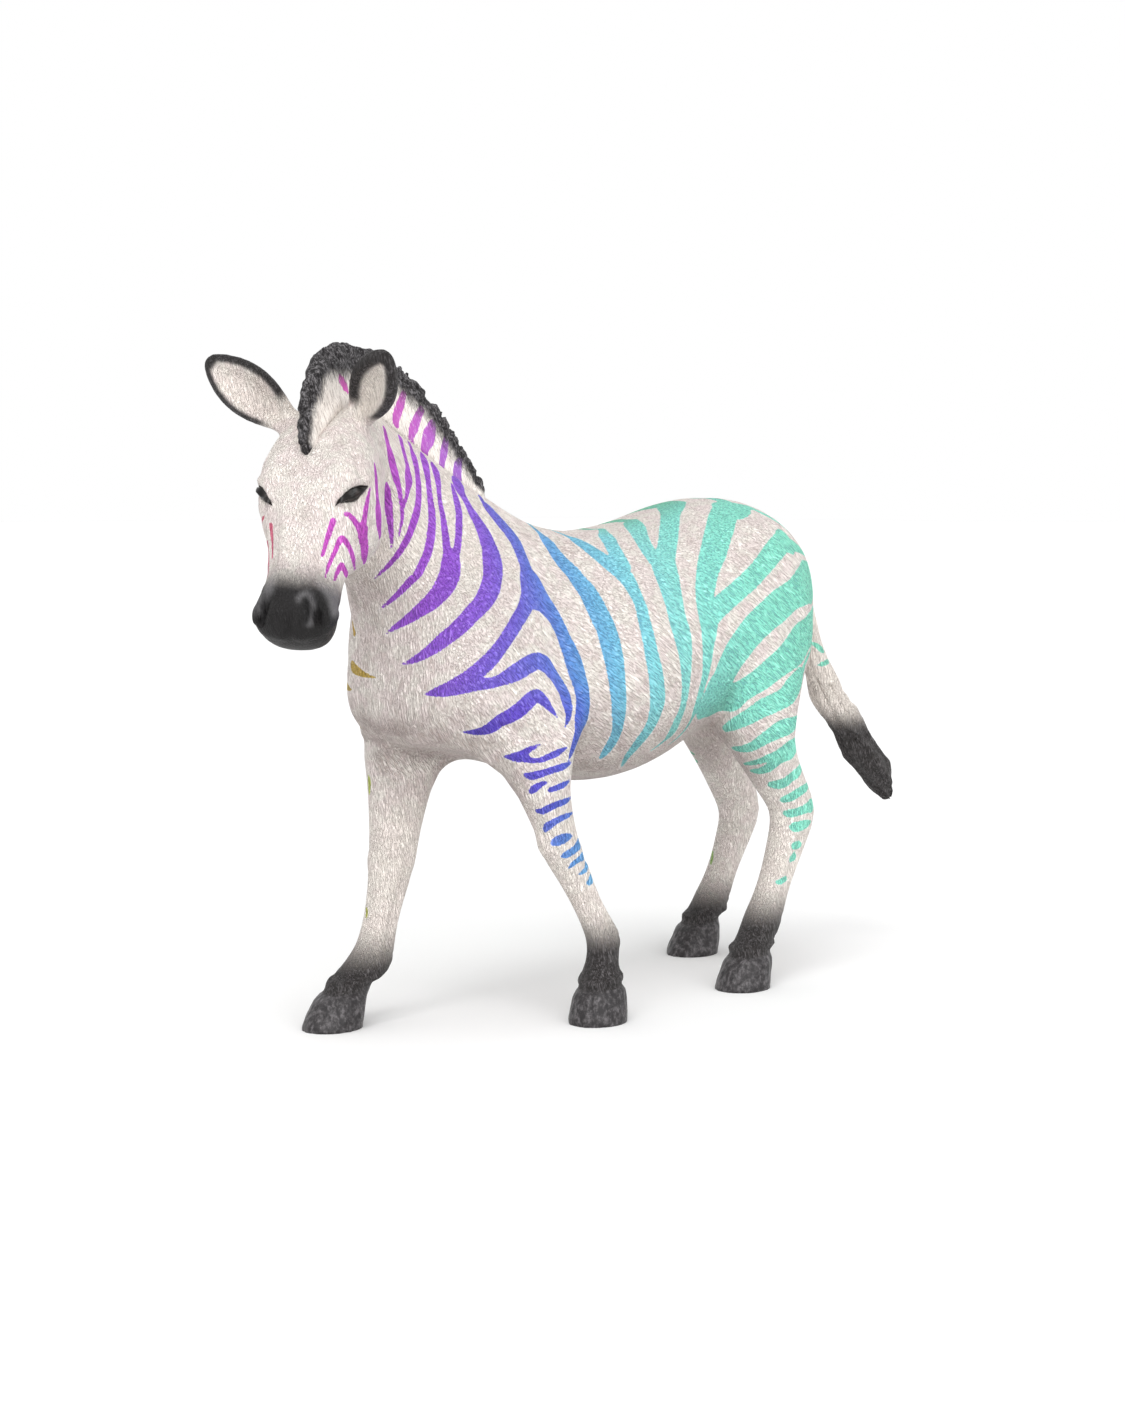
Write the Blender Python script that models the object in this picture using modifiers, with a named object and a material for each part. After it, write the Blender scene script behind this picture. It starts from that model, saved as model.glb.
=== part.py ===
"""A toy zebra of moulded vinyl, standing in a walking pose, as the pieces that are glued together.

The whole animal is one cage of rings that Subdivision Surface rounds. Seams cut it into a torso, a head with its
neck and four legs, each leg and the neck with a peg that sits in a socket of the torso. The ears, the mane and the
tail are moulded by themselves and sit in sockets and a groove.

Axes: +X towards the tail, -Y the figure's left side, +Z up. The hooves stand on Z = 0.
"""

import math

import bmesh
import bpy
from mathutils import Matrix, Vector

MM = 0.001

# Sizes of the whole animal
WITHERS_HEIGHT = 70.0 * MM
BODY_LENGTH = 82.0 * MM
BODY_WIDTH = 31.0 * MM
NECK_LENGTH = 25.5 * MM
NECK_WIDTH = 19.0 * MM

# Sizes of the head, which hangs down from the poll and is turned to the figure's left
HEAD_LENGTH = 29.5 * MM
HEAD_DEPTH = 14.5 * MM
HEAD_WIDTH = 13.8 * MM
HEAD_PITCH = math.radians(62.0)
HEAD_TURN = math.radians(30.0)

# Sizes of the legs and hooves
LEG_THICKNESS = 6.4 * MM
HOOF_LENGTH = 8.8 * MM
HOOF_WIDTH = 7.6 * MM

# Sizes of the ears, the mane and the tail
EAR_LENGTH = 12.9 * MM
EAR_WIDTH = 7.2 * MM
EAR_THICKNESS = 3.6 * MM
EAR_WALL = 1.0 * MM
MANE_HEIGHT = 6.0 * MM
MANE_THICKNESS = 3.2 * MM
MANE_DEPTH = 1.6 * MM
TAIL_THICKNESS = 3.6 * MM

# Joints between the pieces
SEAM_GAP = 0.3 * MM
LEG_PEG_LENGTH = 6.0 * MM
LEG_PEG_WIDTH = 3.6 * MM
LEG_PEG_DEPTH = 6.0 * MM
NECK_PEG_LENGTH = 9.0 * MM
NECK_PEG_WIDTH = 8.0 * MM
NECK_PEG_DEPTH = 12.0 * MM
PEG_TAPER_SHARE = 0.86
OVERRUN = 1.2 * MM
CLEARANCE = 30.0 * MM

# A ring has twelve points: the top, five down each side and the bottom. Each kind of ring gives the seven of one
# side as shares of its half width and its half height.
RING_KIND_SHARES = {
    "barrel": ((0, 1), (0.44, 0.93), (0.82, 0.58), (1, 0.0), (0.88, -0.55), (0.50, -0.90), (0, -1)),
    "croup": ((0, 1), (0.50, 0.93), (0.88, 0.58), (1, -0.02), (0.86, -0.60), (0.22, -0.94), (0, -0.93)),
    "shoulder": ((0, 1), (0.30, 0.90), (0.66, 0.55), (0.96, 0.05), (1, -0.45), (0.48, -0.94), (0, -1)),
    "chest": ((0, 1), (0.34, 0.86), (0.72, 0.45), (0.95, -0.10), (0.86, -0.62), (0.68, -0.92), (0, -1)),
    "neck": ((0, 1), (0.36, 0.86), (0.74, 0.48), (1, -0.02), (0.90, -0.55), (0.50, -0.90), (0, -1)),
    "poll": ((0, 1), (0.50, 0.92), (0.92, 0.55), (1, 0.05), (0.88, -0.50), (0.55, -0.90), (0, -0.95)),
    "brow": ((0, 1), (0.58, 0.97), (1, 0.68), (1, 0.14), (0.92, -0.42), (0.66, -0.90), (0, -0.90)),
    "nose": ((0, 1), (0.50, 0.95), (0.86, 0.62), (1, 0.02), (0.88, -0.55), (0.52, -0.92), (0, -0.96)),
    "muzzle": ((0, 1), (0.52, 0.97), (0.96, 0.62), (1, 0.0), (0.86, -0.55), (0.55, -0.92), (0, -1)),
}

# Torso, rear to front: top x and z, bottom x and z, half width, kind. x follows the body's length, z the height of
# the withers, and the half width the body's width.
TORSO_SHARES = (
    (0.500, 0.868, 0.488, 0.690, 0.150, "croup"),
    (0.450, 0.943, 0.428, 0.585, 0.340, "croup"),
    (0.325, 1.007, 0.325, 0.541, 0.440, "croup"),
    (0.195, 0.998, 0.190, 0.514, 0.455, "croup"),
    (0.090, 0.960, 0.090, 0.474, 0.470, "barrel"),
    (-0.012, 0.938, -0.012, 0.446, 0.500, "barrel"),
    (-0.112, 0.932, -0.105, 0.450, 0.490, "barrel"),
    (-0.200, 0.955, -0.195, 0.478, 0.450, "shoulder"),
    (-0.275, 1.000, -0.305, 0.534, 0.440, "shoulder"),
    (-0.345, 1.040, -0.468, 0.545, 0.400, "shoulder"),
)

# The neck starts at this share of the body's length, and its own length is measured from there to the poll, level
NECK_ROOT_SHARE = -0.345

# Neck, from the shoulders to the throat: top x and z, bottom x and z, half width, kind. x follows the neck's length,
# z the height of the withers, and the half width the neck's width.
NECK_SHARES = (
    (0.183, 1.090, 0.468, 0.626, 0.480, "chest"),
    (0.389, 1.131, 0.470, 0.780, 0.360, "neck"),
    (0.595, 1.166, 0.659, 0.885, 0.345, "neck"),
    (0.814, 1.183, 0.730, 0.960, 0.310, "poll"),
)

# Where the head hangs from, as a share of the withers' height
POLL_HEIGHT_SHARE = 1.124

# Head, from the poll to the lips: how far along the head its top and its bottom lie, how far the face stands in front
# of the line from poll to lips, how far the jaw stands behind it, the half width, and the kind
HEAD_SHARES = (
    (-0.050, 0.180, 0.22, 0.76, 0.420, "poll"),
    (0.120, 0.320, 0.36, 0.78, 0.480, "brow"),
    (0.310, 0.440, 0.38, 0.70, 0.540, "brow"),
    (0.480, 0.545, 0.33, 0.50, 0.395, "nose"),
    (0.650, 0.655, 0.27, 0.33, 0.310, "nose"),
    (0.785, 0.780, 0.26, 0.28, 0.325, "muzzle"),
    (0.885, 0.880, 0.25, 0.31, 0.355, "muzzle"),
    (0.985, 0.985, 0.14, 0.23, 0.270, "muzzle"),
)

# The bend that turns the head begins and ends at these shares of the neck's length
TURN_SHARES = (0.370, 0.852)

# Legs: the joints that each leg passes through, as shares of the body's length, the body's width and the withers'
# height, from the body down to the sole
LEG_PATH_SHARES = {
    "front_left_leg": ((-0.295, -0.365, 0.525), (-0.230, -0.355, 0.347), (-0.130, -0.36, 0.150),
                       (-0.148, -0.370, 0.068), (-0.150, -0.375, 0.0)),
    "front_right_leg": ((-0.330, 0.355, 0.525), (-0.355, 0.350, 0.305), (-0.402, 0.355, 0.118),
                        (-0.472, 0.355, 0.062), (-0.486, 0.355, 0.0)),
    "rear_left_leg": ((0.262, -0.31, 0.590), (0.372, -0.345, 0.350), (0.275, -0.355, 0.130),
                      (0.236, -0.355, 0.066), (0.226, -0.355, 0.0)),
    "rear_right_leg": ((0.410, 0.31, 0.590), (0.545, 0.370, 0.305), (0.462, 0.385, 0.112),
                       (0.422, 0.385, 0.063), (0.410, 0.385, 0.0)),
}

# Rings down a leg: joint passed and the share of the way to the next, then how far the ring reaches forward, back
# and to each side, as shares of the leg's thickness
FORELEG_SHARES = (
    (0.22, 0.86, 0.92, 0.58),
    (0.55, 0.62, 0.68, 0.52),
    (0.84, 0.50, 0.54, 0.47),
    (1.00, 0.56, 0.53, 0.50),
    (1.24, 0.42, 0.44, 0.38),
    (1.60, 0.34, 0.38, 0.31),
    (1.85, 0.36, 0.46, 0.35),
    (2.00, 0.44, 0.58, 0.43),
    (2.45, 0.37, 0.40, 0.37),
)
HIND_LEG_SHARES = (
    (0.22, 1.40, 0.74, 0.86),
    (0.50, 0.84, 0.44, 0.66),
    (0.76, 0.70, 0.52, 0.56),
    (1.00, 0.62, 0.74, 0.50),
    (1.24, 0.50, 0.56, 0.42),
    (1.58, 0.36, 0.42, 0.34),
    (1.84, 0.38, 0.46, 0.37),
    (2.00, 0.46, 0.60, 0.45),
    (2.45, 0.39, 0.42, 0.39),
)

# Rings above the first of these stations lie level and rings below the second lie half level. The girth of each leg
# is a share of the legs' thickness.
ROOT_SHARE = 0.25
PASTERN_SHARE = 2.20
GIRTH_SHARES = {"front_left_leg": 0.82, "front_right_leg": 1.0, "rear_left_leg": 0.95, "rear_right_leg": 0.92}

# Rings of a hoof: height as a share of the coronet's, how far it leans forward as a share of its length, then its
# length and its width as shares of the sole's
HOOF_SHARES = (
    (1.00, 0.07, 0.80, 0.88),
    (0.55, 0.03, 0.90, 0.94),
    (0.10, 0.00, 1.00, 1.00),
)

# The seams, as shares of the body's length and of the withers' height. Each leg's seam slopes just under the belly,
# from its front end to its rear end, and the neck's runs from the chest up to the withers.
LEG_SEAM_SHARES = {"front": ((-0.62, 0.575), (0.02, 0.388)), "rear": ((0.09, 0.470), (0.70, 0.570))}
NECK_SEAM_SHARES = ((-0.807, 0.286), (0.022, 1.571))
NECK_PEG_HEIGHT_SHARE = 0.87

# The mane along the crest: the ring passed and the share of the way to the next, counted from the rump, then the
# mane's height and thickness as shares of its full sizes
MANE_SHARES = (
    (8.00, 0.18, 0.55),
    (8.60, 0.56, 0.80),
    (9.40, 0.83, 1.00),
    (10.50, 1.18, 1.00),
    (11.50, 1.32, 1.00),
    (12.50, 1.24, 1.00),
    (13.40, 1.17, 1.00),
    (14.10, 1.18, 0.96),
    (14.65, 0.90, 0.84),
    (15.20, 0.34, 0.60),
)

# The ears: foot and tip in the head's own directions, along the face, out of the face and to the left, as shares of
# the head's length, depth and width, then the way the cup opens as shares of the same directions
EAR_SHARES = {
    "left_ear": ((-0.02, 0.10, 0.30), (-0.10, 0.82, 0.745), (0.16, 0.61, 0.0)),
    "right_ear": ((0.005, 0.10, -0.335), (-0.160, 0.60, -0.99), (0.16, 0.61, 0.0)),
}

# Rings along an ear: the share of its length, then its width and its thickness as shares
EAR_RING_SHARES = (
    (-0.22, 0.34, 0.56),
    (0.02, 0.40, 0.62),
    (0.22, 0.76, 0.92),
    (0.48, 1.00, 1.00),
    (0.74, 0.84, 0.84),
    (0.93, 0.42, 0.50),
    (1.00, 0.16, 0.24),
)

# The tail from inside the croup to the tip, as shares of the body's length, width and the withers' height, then the
# ring's half depth and half width as shares of the tail's thickness
TAIL_SHARES = (
    (0.430, 0.000, 0.945, 0.42, 0.42),
    (0.492, 0.000, 0.888, 0.50, 0.52),
    (0.540, -0.005, 0.790, 0.52, 0.54),
    (0.566, -0.015, 0.690, 0.48, 0.50),
    (0.598, -0.030, 0.600, 0.46, 0.48),
    (0.652, -0.045, 0.515, 0.60, 0.64),
    (0.718, -0.060, 0.430, 0.78, 0.80),
    (0.764, -0.075, 0.362, 0.70, 0.74),
    (0.792, -0.085, 0.318, 0.28, 0.30),
)

SIDES = 12
LEG_SIDES = 8


def swell(sides):
    """How much larger a cage ring is than the smooth ring that subdivision makes of it."""
    return 6.0 / (4.0 + 2.0 * math.cos(2.0 * math.pi / sides))


def torso_place(along, height):
    """A point of the torso's middle plane, by its shares of the body's length and of the withers' height."""
    return Vector((along * BODY_LENGTH, 0.0, height * WITHERS_HEIGHT))


def neck_place(along, height):
    """A point of the neck's middle plane, by its shares of the neck's length and of the withers' height."""
    return Vector((NECK_ROOT_SHARE * BODY_LENGTH - along * NECK_LENGTH, 0.0, height * WITHERS_HEIGHT))


def turned(point):
    """The point after the neck bends to the figure's left, with what lies past the bend turned as a whole."""
    begin = neck_place(TURN_SHARES[0], 0.0).x
    end = neck_place(TURN_SHARES[1], 0.0).x
    ahead = begin - point.x
    if ahead <= 0.0:
        return point.copy()
    radius = (begin - end) / HEAD_TURN
    angle = min(ahead / radius, HEAD_TURN)
    past = max(ahead - (begin - end), 0.0)
    heading = Vector((-math.cos(angle), -math.sin(angle), 0.0))
    left = Vector((math.sin(angle), -math.cos(angle), 0.0))
    bend = Vector((begin - radius * math.sin(angle), -radius * (1.0 - math.cos(angle)), point.z))
    return bend + heading * past + left * -point.y


def ring_points(top, bottom, half_width, kind):
    """The twelve points of a ring between its top and its bottom, down the left side and up the right."""
    middle = (top + bottom) / 2.0
    upward = (top - bottom) / 2.0 * swell(SIDES)
    across = Vector((0.0, -half_width * swell(SIDES), 0.0))
    shares = RING_KIND_SHARES[kind]
    left = [middle + across * wide + upward * high for wide, high in shares]
    right = [middle - across * wide + upward * high for wide, high in shares[-2:0:-1]]
    return left + right


def head_point(along, forward):
    """A point of the head's middle plane, before the neck bends."""
    down = Vector((-math.cos(HEAD_PITCH), 0.0, -math.sin(HEAD_PITCH)))
    out = Vector((-math.sin(HEAD_PITCH), 0.0, math.cos(HEAD_PITCH)))
    poll = neck_place(1.0, POLL_HEIGHT_SHARE)
    return poll + down * along + out * forward


def trunk_rings():
    """The rings from the rump to the lips."""
    rings = []
    for rows, width, place in ((TORSO_SHARES, BODY_WIDTH, torso_place), (NECK_SHARES, NECK_WIDTH, neck_place)):
        for top_x, top_z, bottom_x, bottom_z, half, kind in rows:
            rings.append(ring_points(place(top_x, top_z), place(bottom_x, bottom_z), half * width, kind))
    for top_along, bottom_along, face, jaw, half, kind in HEAD_SHARES:
        top = head_point(top_along * HEAD_LENGTH, face * HEAD_DEPTH)
        bottom = head_point(bottom_along * HEAD_LENGTH, -jaw * HEAD_DEPTH)
        rings.append(ring_points(top, bottom, half * HEAD_WIDTH, kind))
    return [[turned(point) for point in ring] for ring in rings]


def leg_joints(name):
    """The joints of a leg, from the body to the sole."""
    return [
        Vector((x * BODY_LENGTH, y * BODY_WIDTH, z * WITHERS_HEIGHT))
        for x, y, z in LEG_PATH_SHARES[name]
    ]


def leg_ring(centre, forward, outward, front, back, side):
    """The eight points of a leg's ring: the front, then round the outer side to the back and the inner side."""
    points = []
    for step in range(LEG_SIDES):
        angle = 2.0 * math.pi * step / LEG_SIDES
        reach = front if math.cos(angle) > 0.0 else back
        along = forward * (math.cos(angle) * reach)
        points.append(centre + (along + outward * (math.sin(angle) * side)) * swell(LEG_SIDES))
    return points


def leg_rings(name):
    """The rings of one leg from under the body to the sole."""
    joints = leg_joints(name)
    outward = Vector((0.0, -1.0 if "left" in name else 1.0, 0.0))
    rows = FORELEG_SHARES if name.startswith("front") else HIND_LEG_SHARES
    rings = []
    for station, front, back, side in rows:
        index = min(int(station), len(joints) - 2)
        centre = joints[index].lerp(joints[index + 1], station - index)
        above = joints[index] - joints[index + 1]
        if station == index and index > 0:
            above = (joints[index - 1] - joints[index]).normalized() + above.normalized()
        forward = outward.cross(above).normalized()
        if forward.x > 0.0:
            forward.negate()
        if station < ROOT_SHARE:
            forward = Vector((-1.0, 0.0, 0.0))
        if station > PASTERN_SHARE:
            forward = (forward + Vector((-1.0, 0.0, 0.0))).normalized()
        girth = GIRTH_SHARES[name] * LEG_THICKNESS
        rings.append(leg_ring(centre, forward, outward, front * girth, back * girth, side * girth))
    sole = joints[-1]
    ahead = Vector((-1.0, 0.0, 0.0))
    for height, lean, length, width in HOOF_SHARES:
        up = joints[-2].z * height
        shift = (joints[-2] - sole).xy.to_3d() * min(height, 1.0) - ahead * (lean * HOOF_LENGTH)
        rings.append(leg_ring(sole + shift + Vector((0.0, 0.0, up)), ahead, outward,
                              length * HOOF_LENGTH / 2.0, length * HOOF_LENGTH / 2.0, width * HOOF_WIDTH / 2.0))
    rings.append(leg_ring(sole, ahead, outward, HOOF_LENGTH / 2.0, HOOF_LENGTH / 2.0, HOOF_WIDTH / 2.0))
    return rings


def close_rings(mesh, rings):
    """Faces between each ring and the next."""
    for ring, following in zip(rings, rings[1:]):
        count = len(ring)
        for step in range(count):
            after = (step + 1) % count
            mesh.faces.new((ring[step], ring[after], following[after], following[step]))


def animal_cage():
    """The cage of the whole animal: one trunk from rump to lips, with four legs grown out of it."""
    # Which three torso rings a leg grows from, rear to front, and the ring columns of its outer and inner edges
    rings_of_end = {"rear": (1, 2, 3), "front": (7, 8, 9)}
    columns_of_side = {"left": (3, 4, 5), "right": (9, 8, 7)}
    mesh = bmesh.new()
    trunk = [[mesh.verts.new(point) for point in ring] for ring in trunk_rings()]
    close_rings(mesh, trunk)
    mesh.faces.new(trunk[0][::-1])
    mesh.faces.new(trunk[-1])
    for name in LEG_PATH_SHARES:
        end, side, _ = name.split("_")
        rear, middle, front = rings_of_end[end]
        outer, between, inner = columns_of_side[side]
        hub = trunk[middle][between]
        root = [trunk[front][between], trunk[front][outer], trunk[middle][outer], trunk[rear][outer],
                trunk[rear][between], trunk[rear][inner], trunk[middle][inner], trunk[front][inner]]
        bmesh.ops.delete(mesh, geom=[hub], context="VERTS")
        rings = [[mesh.verts.new(point) for point in ring] for ring in leg_rings(name)]
        close_rings(mesh, [root] + rings)
        sole = mesh.faces.new(rings[-1])
        crease = mesh.edges.layers.float.get("crease_edge") or mesh.edges.layers.float.new("crease_edge")
        for edge in sole.edges:
            edge[crease] = 1.0
    bmesh.ops.recalc_face_normals(mesh, faces=mesh.faces)
    return mesh


def new_object(name, mesh, collection):
    """A smoothly shaded object made from a bmesh."""
    bmesh.ops.recalc_face_normals(mesh, faces=mesh.faces)
    data = bpy.data.meshes.new(name)
    mesh.to_mesh(data)
    mesh.free()
    data.polygons.foreach_set("use_smooth", [True] * len(data.polygons))
    made = bpy.data.objects.new(name, data)
    collection.objects.link(made)
    return made


def rounded(made, levels):
    """Adds the subdivision that rounds a cage."""
    subdivision = made.modifiers.new("round", "SUBSURF")
    subdivision.levels = levels
    subdivision.render_levels = levels
    return made


def guide(name, mesh):
    """A cutter, which is never part of the figure and is never drawn."""
    made = new_object(name, mesh, bpy.data.collections["guides"])
    made.hide_render = True
    made.display_type = "WIRE"
    return made


def combined(made, other, operation):
    """Cuts with, keeps inside or joins on another object."""
    boolean = made.modifiers.new(operation.lower() + "_" + other.name, "BOOLEAN")
    boolean.solver = "EXACT"
    boolean.operation = operation
    boolean.object = other
    return made


def block(name, corners):
    """A cutter with six flat faces, from its four corners on one end and the four facing them."""
    mesh = bmesh.new()
    near = [mesh.verts.new(corner) for corner in corners[:4]]
    far = [mesh.verts.new(corner) for corner in corners[4:]]
    close_rings(mesh, [near, far])
    mesh.faces.new(near)
    mesh.faces.new(far)
    return guide(name, mesh)


def loft(rings):
    """A closed tube through rings."""
    mesh = bmesh.new()
    placed = [[mesh.verts.new(point) for point in ring] for ring in rings]
    close_rings(mesh, placed)
    mesh.faces.new(placed[0])
    mesh.faces.new(placed[-1])
    return mesh


def leg_block(name, grow):
    """What lies below a leg's seam, on the leg's side of the body."""
    end, side, _ = name.split("_")
    (front_x, front_z), (rear_x, rear_z) = LEG_SEAM_SHARES[end]
    outer = (BODY_WIDTH + CLEARANCE) * (-1.0 if side == "left" else 1.0)
    corners = []
    for y in (0.0, outer):
        corners += [
            Vector((front_x * BODY_LENGTH, y, -OVERRUN)),
            Vector((front_x * BODY_LENGTH, y, front_z * WITHERS_HEIGHT + grow)),
            Vector((rear_x * BODY_LENGTH, y, rear_z * WITHERS_HEIGHT + grow)),
            Vector((rear_x * BODY_LENGTH, y, -OVERRUN)),
        ]
    return block(name + "_region" + ("_with_gap" if grow else ""), corners)


def neck_block(grow):
    """What lies in front of the neck's seam."""
    (low_x, low_z), (high_x, high_z) = NECK_SEAM_SHARES
    corners = []
    for y in (-BODY_WIDTH, BODY_WIDTH):
        corners += [
            Vector((low_x * BODY_LENGTH + grow, y, low_z * WITHERS_HEIGHT)),
            Vector((high_x * BODY_LENGTH + grow, y, high_z * WITHERS_HEIGHT)),
            Vector((-BODY_LENGTH - CLEARANCE, y, high_z * WITHERS_HEIGHT)),
            Vector((-BODY_LENGTH - CLEARANCE, y, low_z * WITHERS_HEIGHT)),
        ]
    return block("neck_region" + ("_with_gap" if grow else ""), corners)


def peg(name, foot, direction, width, depth, length, grow):
    """A square peg that narrows to its end, and with room around it the socket that takes it."""
    across = Vector((0.0, 1.0, 0.0))
    along = across.cross(direction)
    corners = []
    for reach, share in ((-OVERRUN, 1.0), (length + grow, PEG_TAPER_SHARE)):
        centre = foot + direction * reach
        for side, end in ((-1, -1), (1, -1), (1, 1), (-1, 1)):
            corners.append(centre + across * (side * (width * share / 2.0 + grow))
                           + along * (end * (depth * share / 2.0 + grow)))
    return block(name, corners)


def leg_peg(name, grow):
    """The peg of a leg, square to its seam where the leg's path crosses it."""
    (front_x, front_z), (rear_x, rear_z) = LEG_SEAM_SHARES[name.split("_")[0]]
    front = Vector((front_x * BODY_LENGTH, 0.0, front_z * WITHERS_HEIGHT))
    slope = Vector((rear_x * BODY_LENGTH, 0.0, rear_z * WITHERS_HEIGHT)) - front
    upward = Vector((-slope.z, 0.0, slope.x)).normalized()
    above, below = leg_joints(name)[:2]
    height_above = (above - front).dot(upward)
    height_below = (below - front).dot(upward)
    foot = above.lerp(below, height_above / (height_above - height_below))
    return peg(name + ("_socket" if grow else "_peg"), foot, upward,
               LEG_PEG_WIDTH, LEG_PEG_DEPTH, LEG_PEG_LENGTH, grow)


def neck_peg(grow):
    """The peg of the neck, square to its seam."""
    (low_x, low_z), (high_x, high_z) = NECK_SEAM_SHARES
    share = (NECK_PEG_HEIGHT_SHARE - low_z) / (high_z - low_z)
    foot = Vector(((low_x + (high_x - low_x) * share) * BODY_LENGTH, 0.0, NECK_PEG_HEIGHT_SHARE * WITHERS_HEIGHT))
    slope = Vector(((high_x - low_x) * BODY_LENGTH, 0.0, (high_z - low_z) * WITHERS_HEIGHT))
    backward = Vector((slope.z, 0.0, -slope.x)).normalized()
    return peg("neck_socket" if grow else "neck_peg", foot, backward,
               NECK_PEG_WIDTH, NECK_PEG_DEPTH, NECK_PEG_LENGTH, grow)


def crest_point(station):
    """A point of the crest, counted in rings from the rump."""
    tops = [turned(torso_place(row[0], row[1])) for row in TORSO_SHARES]
    tops += [turned(neck_place(row[0], row[1])) for row in NECK_SHARES]
    tops += [turned(head_point(row[0] * HEAD_LENGTH, row[2] * HEAD_DEPTH)) for row in HEAD_SHARES]
    index = int(station)
    return tops[index].lerp(tops[index + 1], station - index)


def mane_mesh(grow):
    """The mane as a closed slab along the crest, its foot below the crest, and with room around it its groove."""
    points = [crest_point(station) for station, _, _ in MANE_SHARES]
    rings = []
    for index, (_, height, thickness) in enumerate(MANE_SHARES):
        before = points[max(index - 1, 0)]
        after = points[min(index + 1, len(points) - 1)]
        tangent = (after - before).normalized()
        across = tangent.cross(Vector((0.0, 0.0, 1.0))).normalized()
        upward = across.cross(tangent).normalized()
        end = -1.0 if index == 0 else 1.0 if index == len(points) - 1 else 0.0
        centre = points[index] + tangent * (end * grow)
        half = thickness * MANE_THICKNESS / 2.0 + grow
        low = upward * -(MANE_DEPTH + grow)
        high = upward * (height * MANE_HEIGHT + grow)
        rings.append([
            centre + low - across * half,
            centre - across * half,
            centre + high.lerp(Vector(), 0.4) - across * (half * 0.9),
            centre + high - across * (half * 0.5),
            centre + high + across * (half * 0.5),
            centre + high.lerp(Vector(), 0.4) + across * (half * 0.9),
            centre + across * half,
            centre + low + across * half,
        ])
    return loft(rings)


def head_directions():
    """The head's directions after the turn: down the face, out of it and to the left."""
    base = turned(head_point(0.0, 0.0))
    down = (turned(head_point(HEAD_LENGTH, 0.0)) - base).normalized()
    out = (turned(head_point(0.0, HEAD_DEPTH)) - base).normalized()
    return base, down, out, out.cross(down)


def ear_frame(name):
    """Where an ear's foot is, the ear's direction, the way its cup opens and the way across."""
    base, down, out, left = head_directions()
    placed = []
    for along, forward, aside in EAR_SHARES[name]:
        placed.append(down * (along * HEAD_LENGTH) + out * (forward * HEAD_DEPTH) + left * (aside * HEAD_WIDTH))
    foot = base + placed[0]
    direction = (placed[1] - placed[0]).normalized()
    opening = (placed[2] - direction * placed[2].dot(direction)).normalized()
    return foot, direction, opening, direction.cross(opening)


def ear_mesh(name, grow, rows, shift):
    """An ear as a closed leaf, shifted along the way its cup opens."""
    foot, direction, opening, across = ear_frame(name)
    rings = []
    for reach, width, thickness in rows:
        centre = foot + direction * (reach * EAR_LENGTH) + opening * shift
        ring = []
        for step in range(LEG_SIDES):
            angle = 2.0 * math.pi * step / LEG_SIDES
            wide = across * (math.cos(angle) * (width * EAR_WIDTH / 2.0 + grow))
            thick = opening * (math.sin(angle) * (thickness * EAR_THICKNESS / 2.0 + grow))
            ring.append(centre + (wide + thick) * swell(LEG_SIDES))
        rings.append(ring)
    return loft(rings)


def tail_mesh(grow):
    """The tail, whose upper end sits in the croup, and with room around it its socket."""
    points = [Vector((x * BODY_LENGTH, y * BODY_WIDTH, z * WITHERS_HEIGHT)) for x, y, z, _, _ in TAIL_SHARES]
    rings = []
    for index, (_, _, _, deep, wide) in enumerate(TAIL_SHARES):
        before = points[max(index - 1, 0)]
        after = points[min(index + 1, len(points) - 1)]
        tangent = (after - before).normalized()
        across = Vector((0.0, 1.0, 0.0))
        outward = tangent.cross(across).normalized()
        centre = points[index] - tangent * (grow if index == 0 else 0.0)
        rings.append(leg_ring(centre, outward, across, deep * TAIL_THICKNESS + grow,
                              deep * TAIL_THICKNESS + grow, wide * TAIL_THICKNESS + grow))
    return loft(rings)


MATERIAL_SHARES = {
    "torso": (0.82, 0.77, 0.74, 0.55),
    "head_and_neck": (0.82, 0.77, 0.74, 0.55),
    "front_left_leg": (0.82, 0.77, 0.74, 0.55),
    "front_right_leg": (0.82, 0.77, 0.74, 0.55),
    "rear_left_leg": (0.82, 0.77, 0.74, 0.55),
    "rear_right_leg": (0.82, 0.77, 0.74, 0.55),
    "left_ear": (0.78, 0.72, 0.69, 0.60),
    "right_ear": (0.78, 0.72, 0.69, 0.60),
    "mane": (0.05, 0.05, 0.05, 0.50),
    "tail": (0.60, 0.56, 0.54, 0.55),
}


def paint(made):
    """Gives a piece its own material."""
    red, green, blue, roughness = MATERIAL_SHARES[made.name]
    material = bpy.data.materials.new(made.name + "_vinyl")
    material.use_nodes = True
    shader = material.node_tree.nodes["Principled BSDF"]
    shader.inputs["Base Color"].default_value = (red, green, blue, 1.0)
    shader.inputs["Roughness"].default_value = roughness
    shader.inputs["Metallic"].default_value = 0.0
    made.data.materials.append(material)


def centre_on_ground(figure, guides):
    """Moves the figure and its guides so that the origin is under the middle of the figure, at the hooves."""
    graph = bpy.context.evaluated_depsgraph_get()
    corners = [
        vertex.co.copy()
        for made in figure.objects
        for vertex in made.evaluated_get(graph).data.vertices
    ]
    low = [min(corner[axis] for corner in corners) for axis in range(3)]
    high = [max(corner[axis] for corner in corners) for axis in range(3)]
    move = Matrix.Translation((-(low[0] + high[0]) / 2.0, -(low[1] + high[1]) / 2.0, -low[2]))
    for made in list(figure.objects) + list(guides.objects):
        made.data.transform(move)


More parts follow.
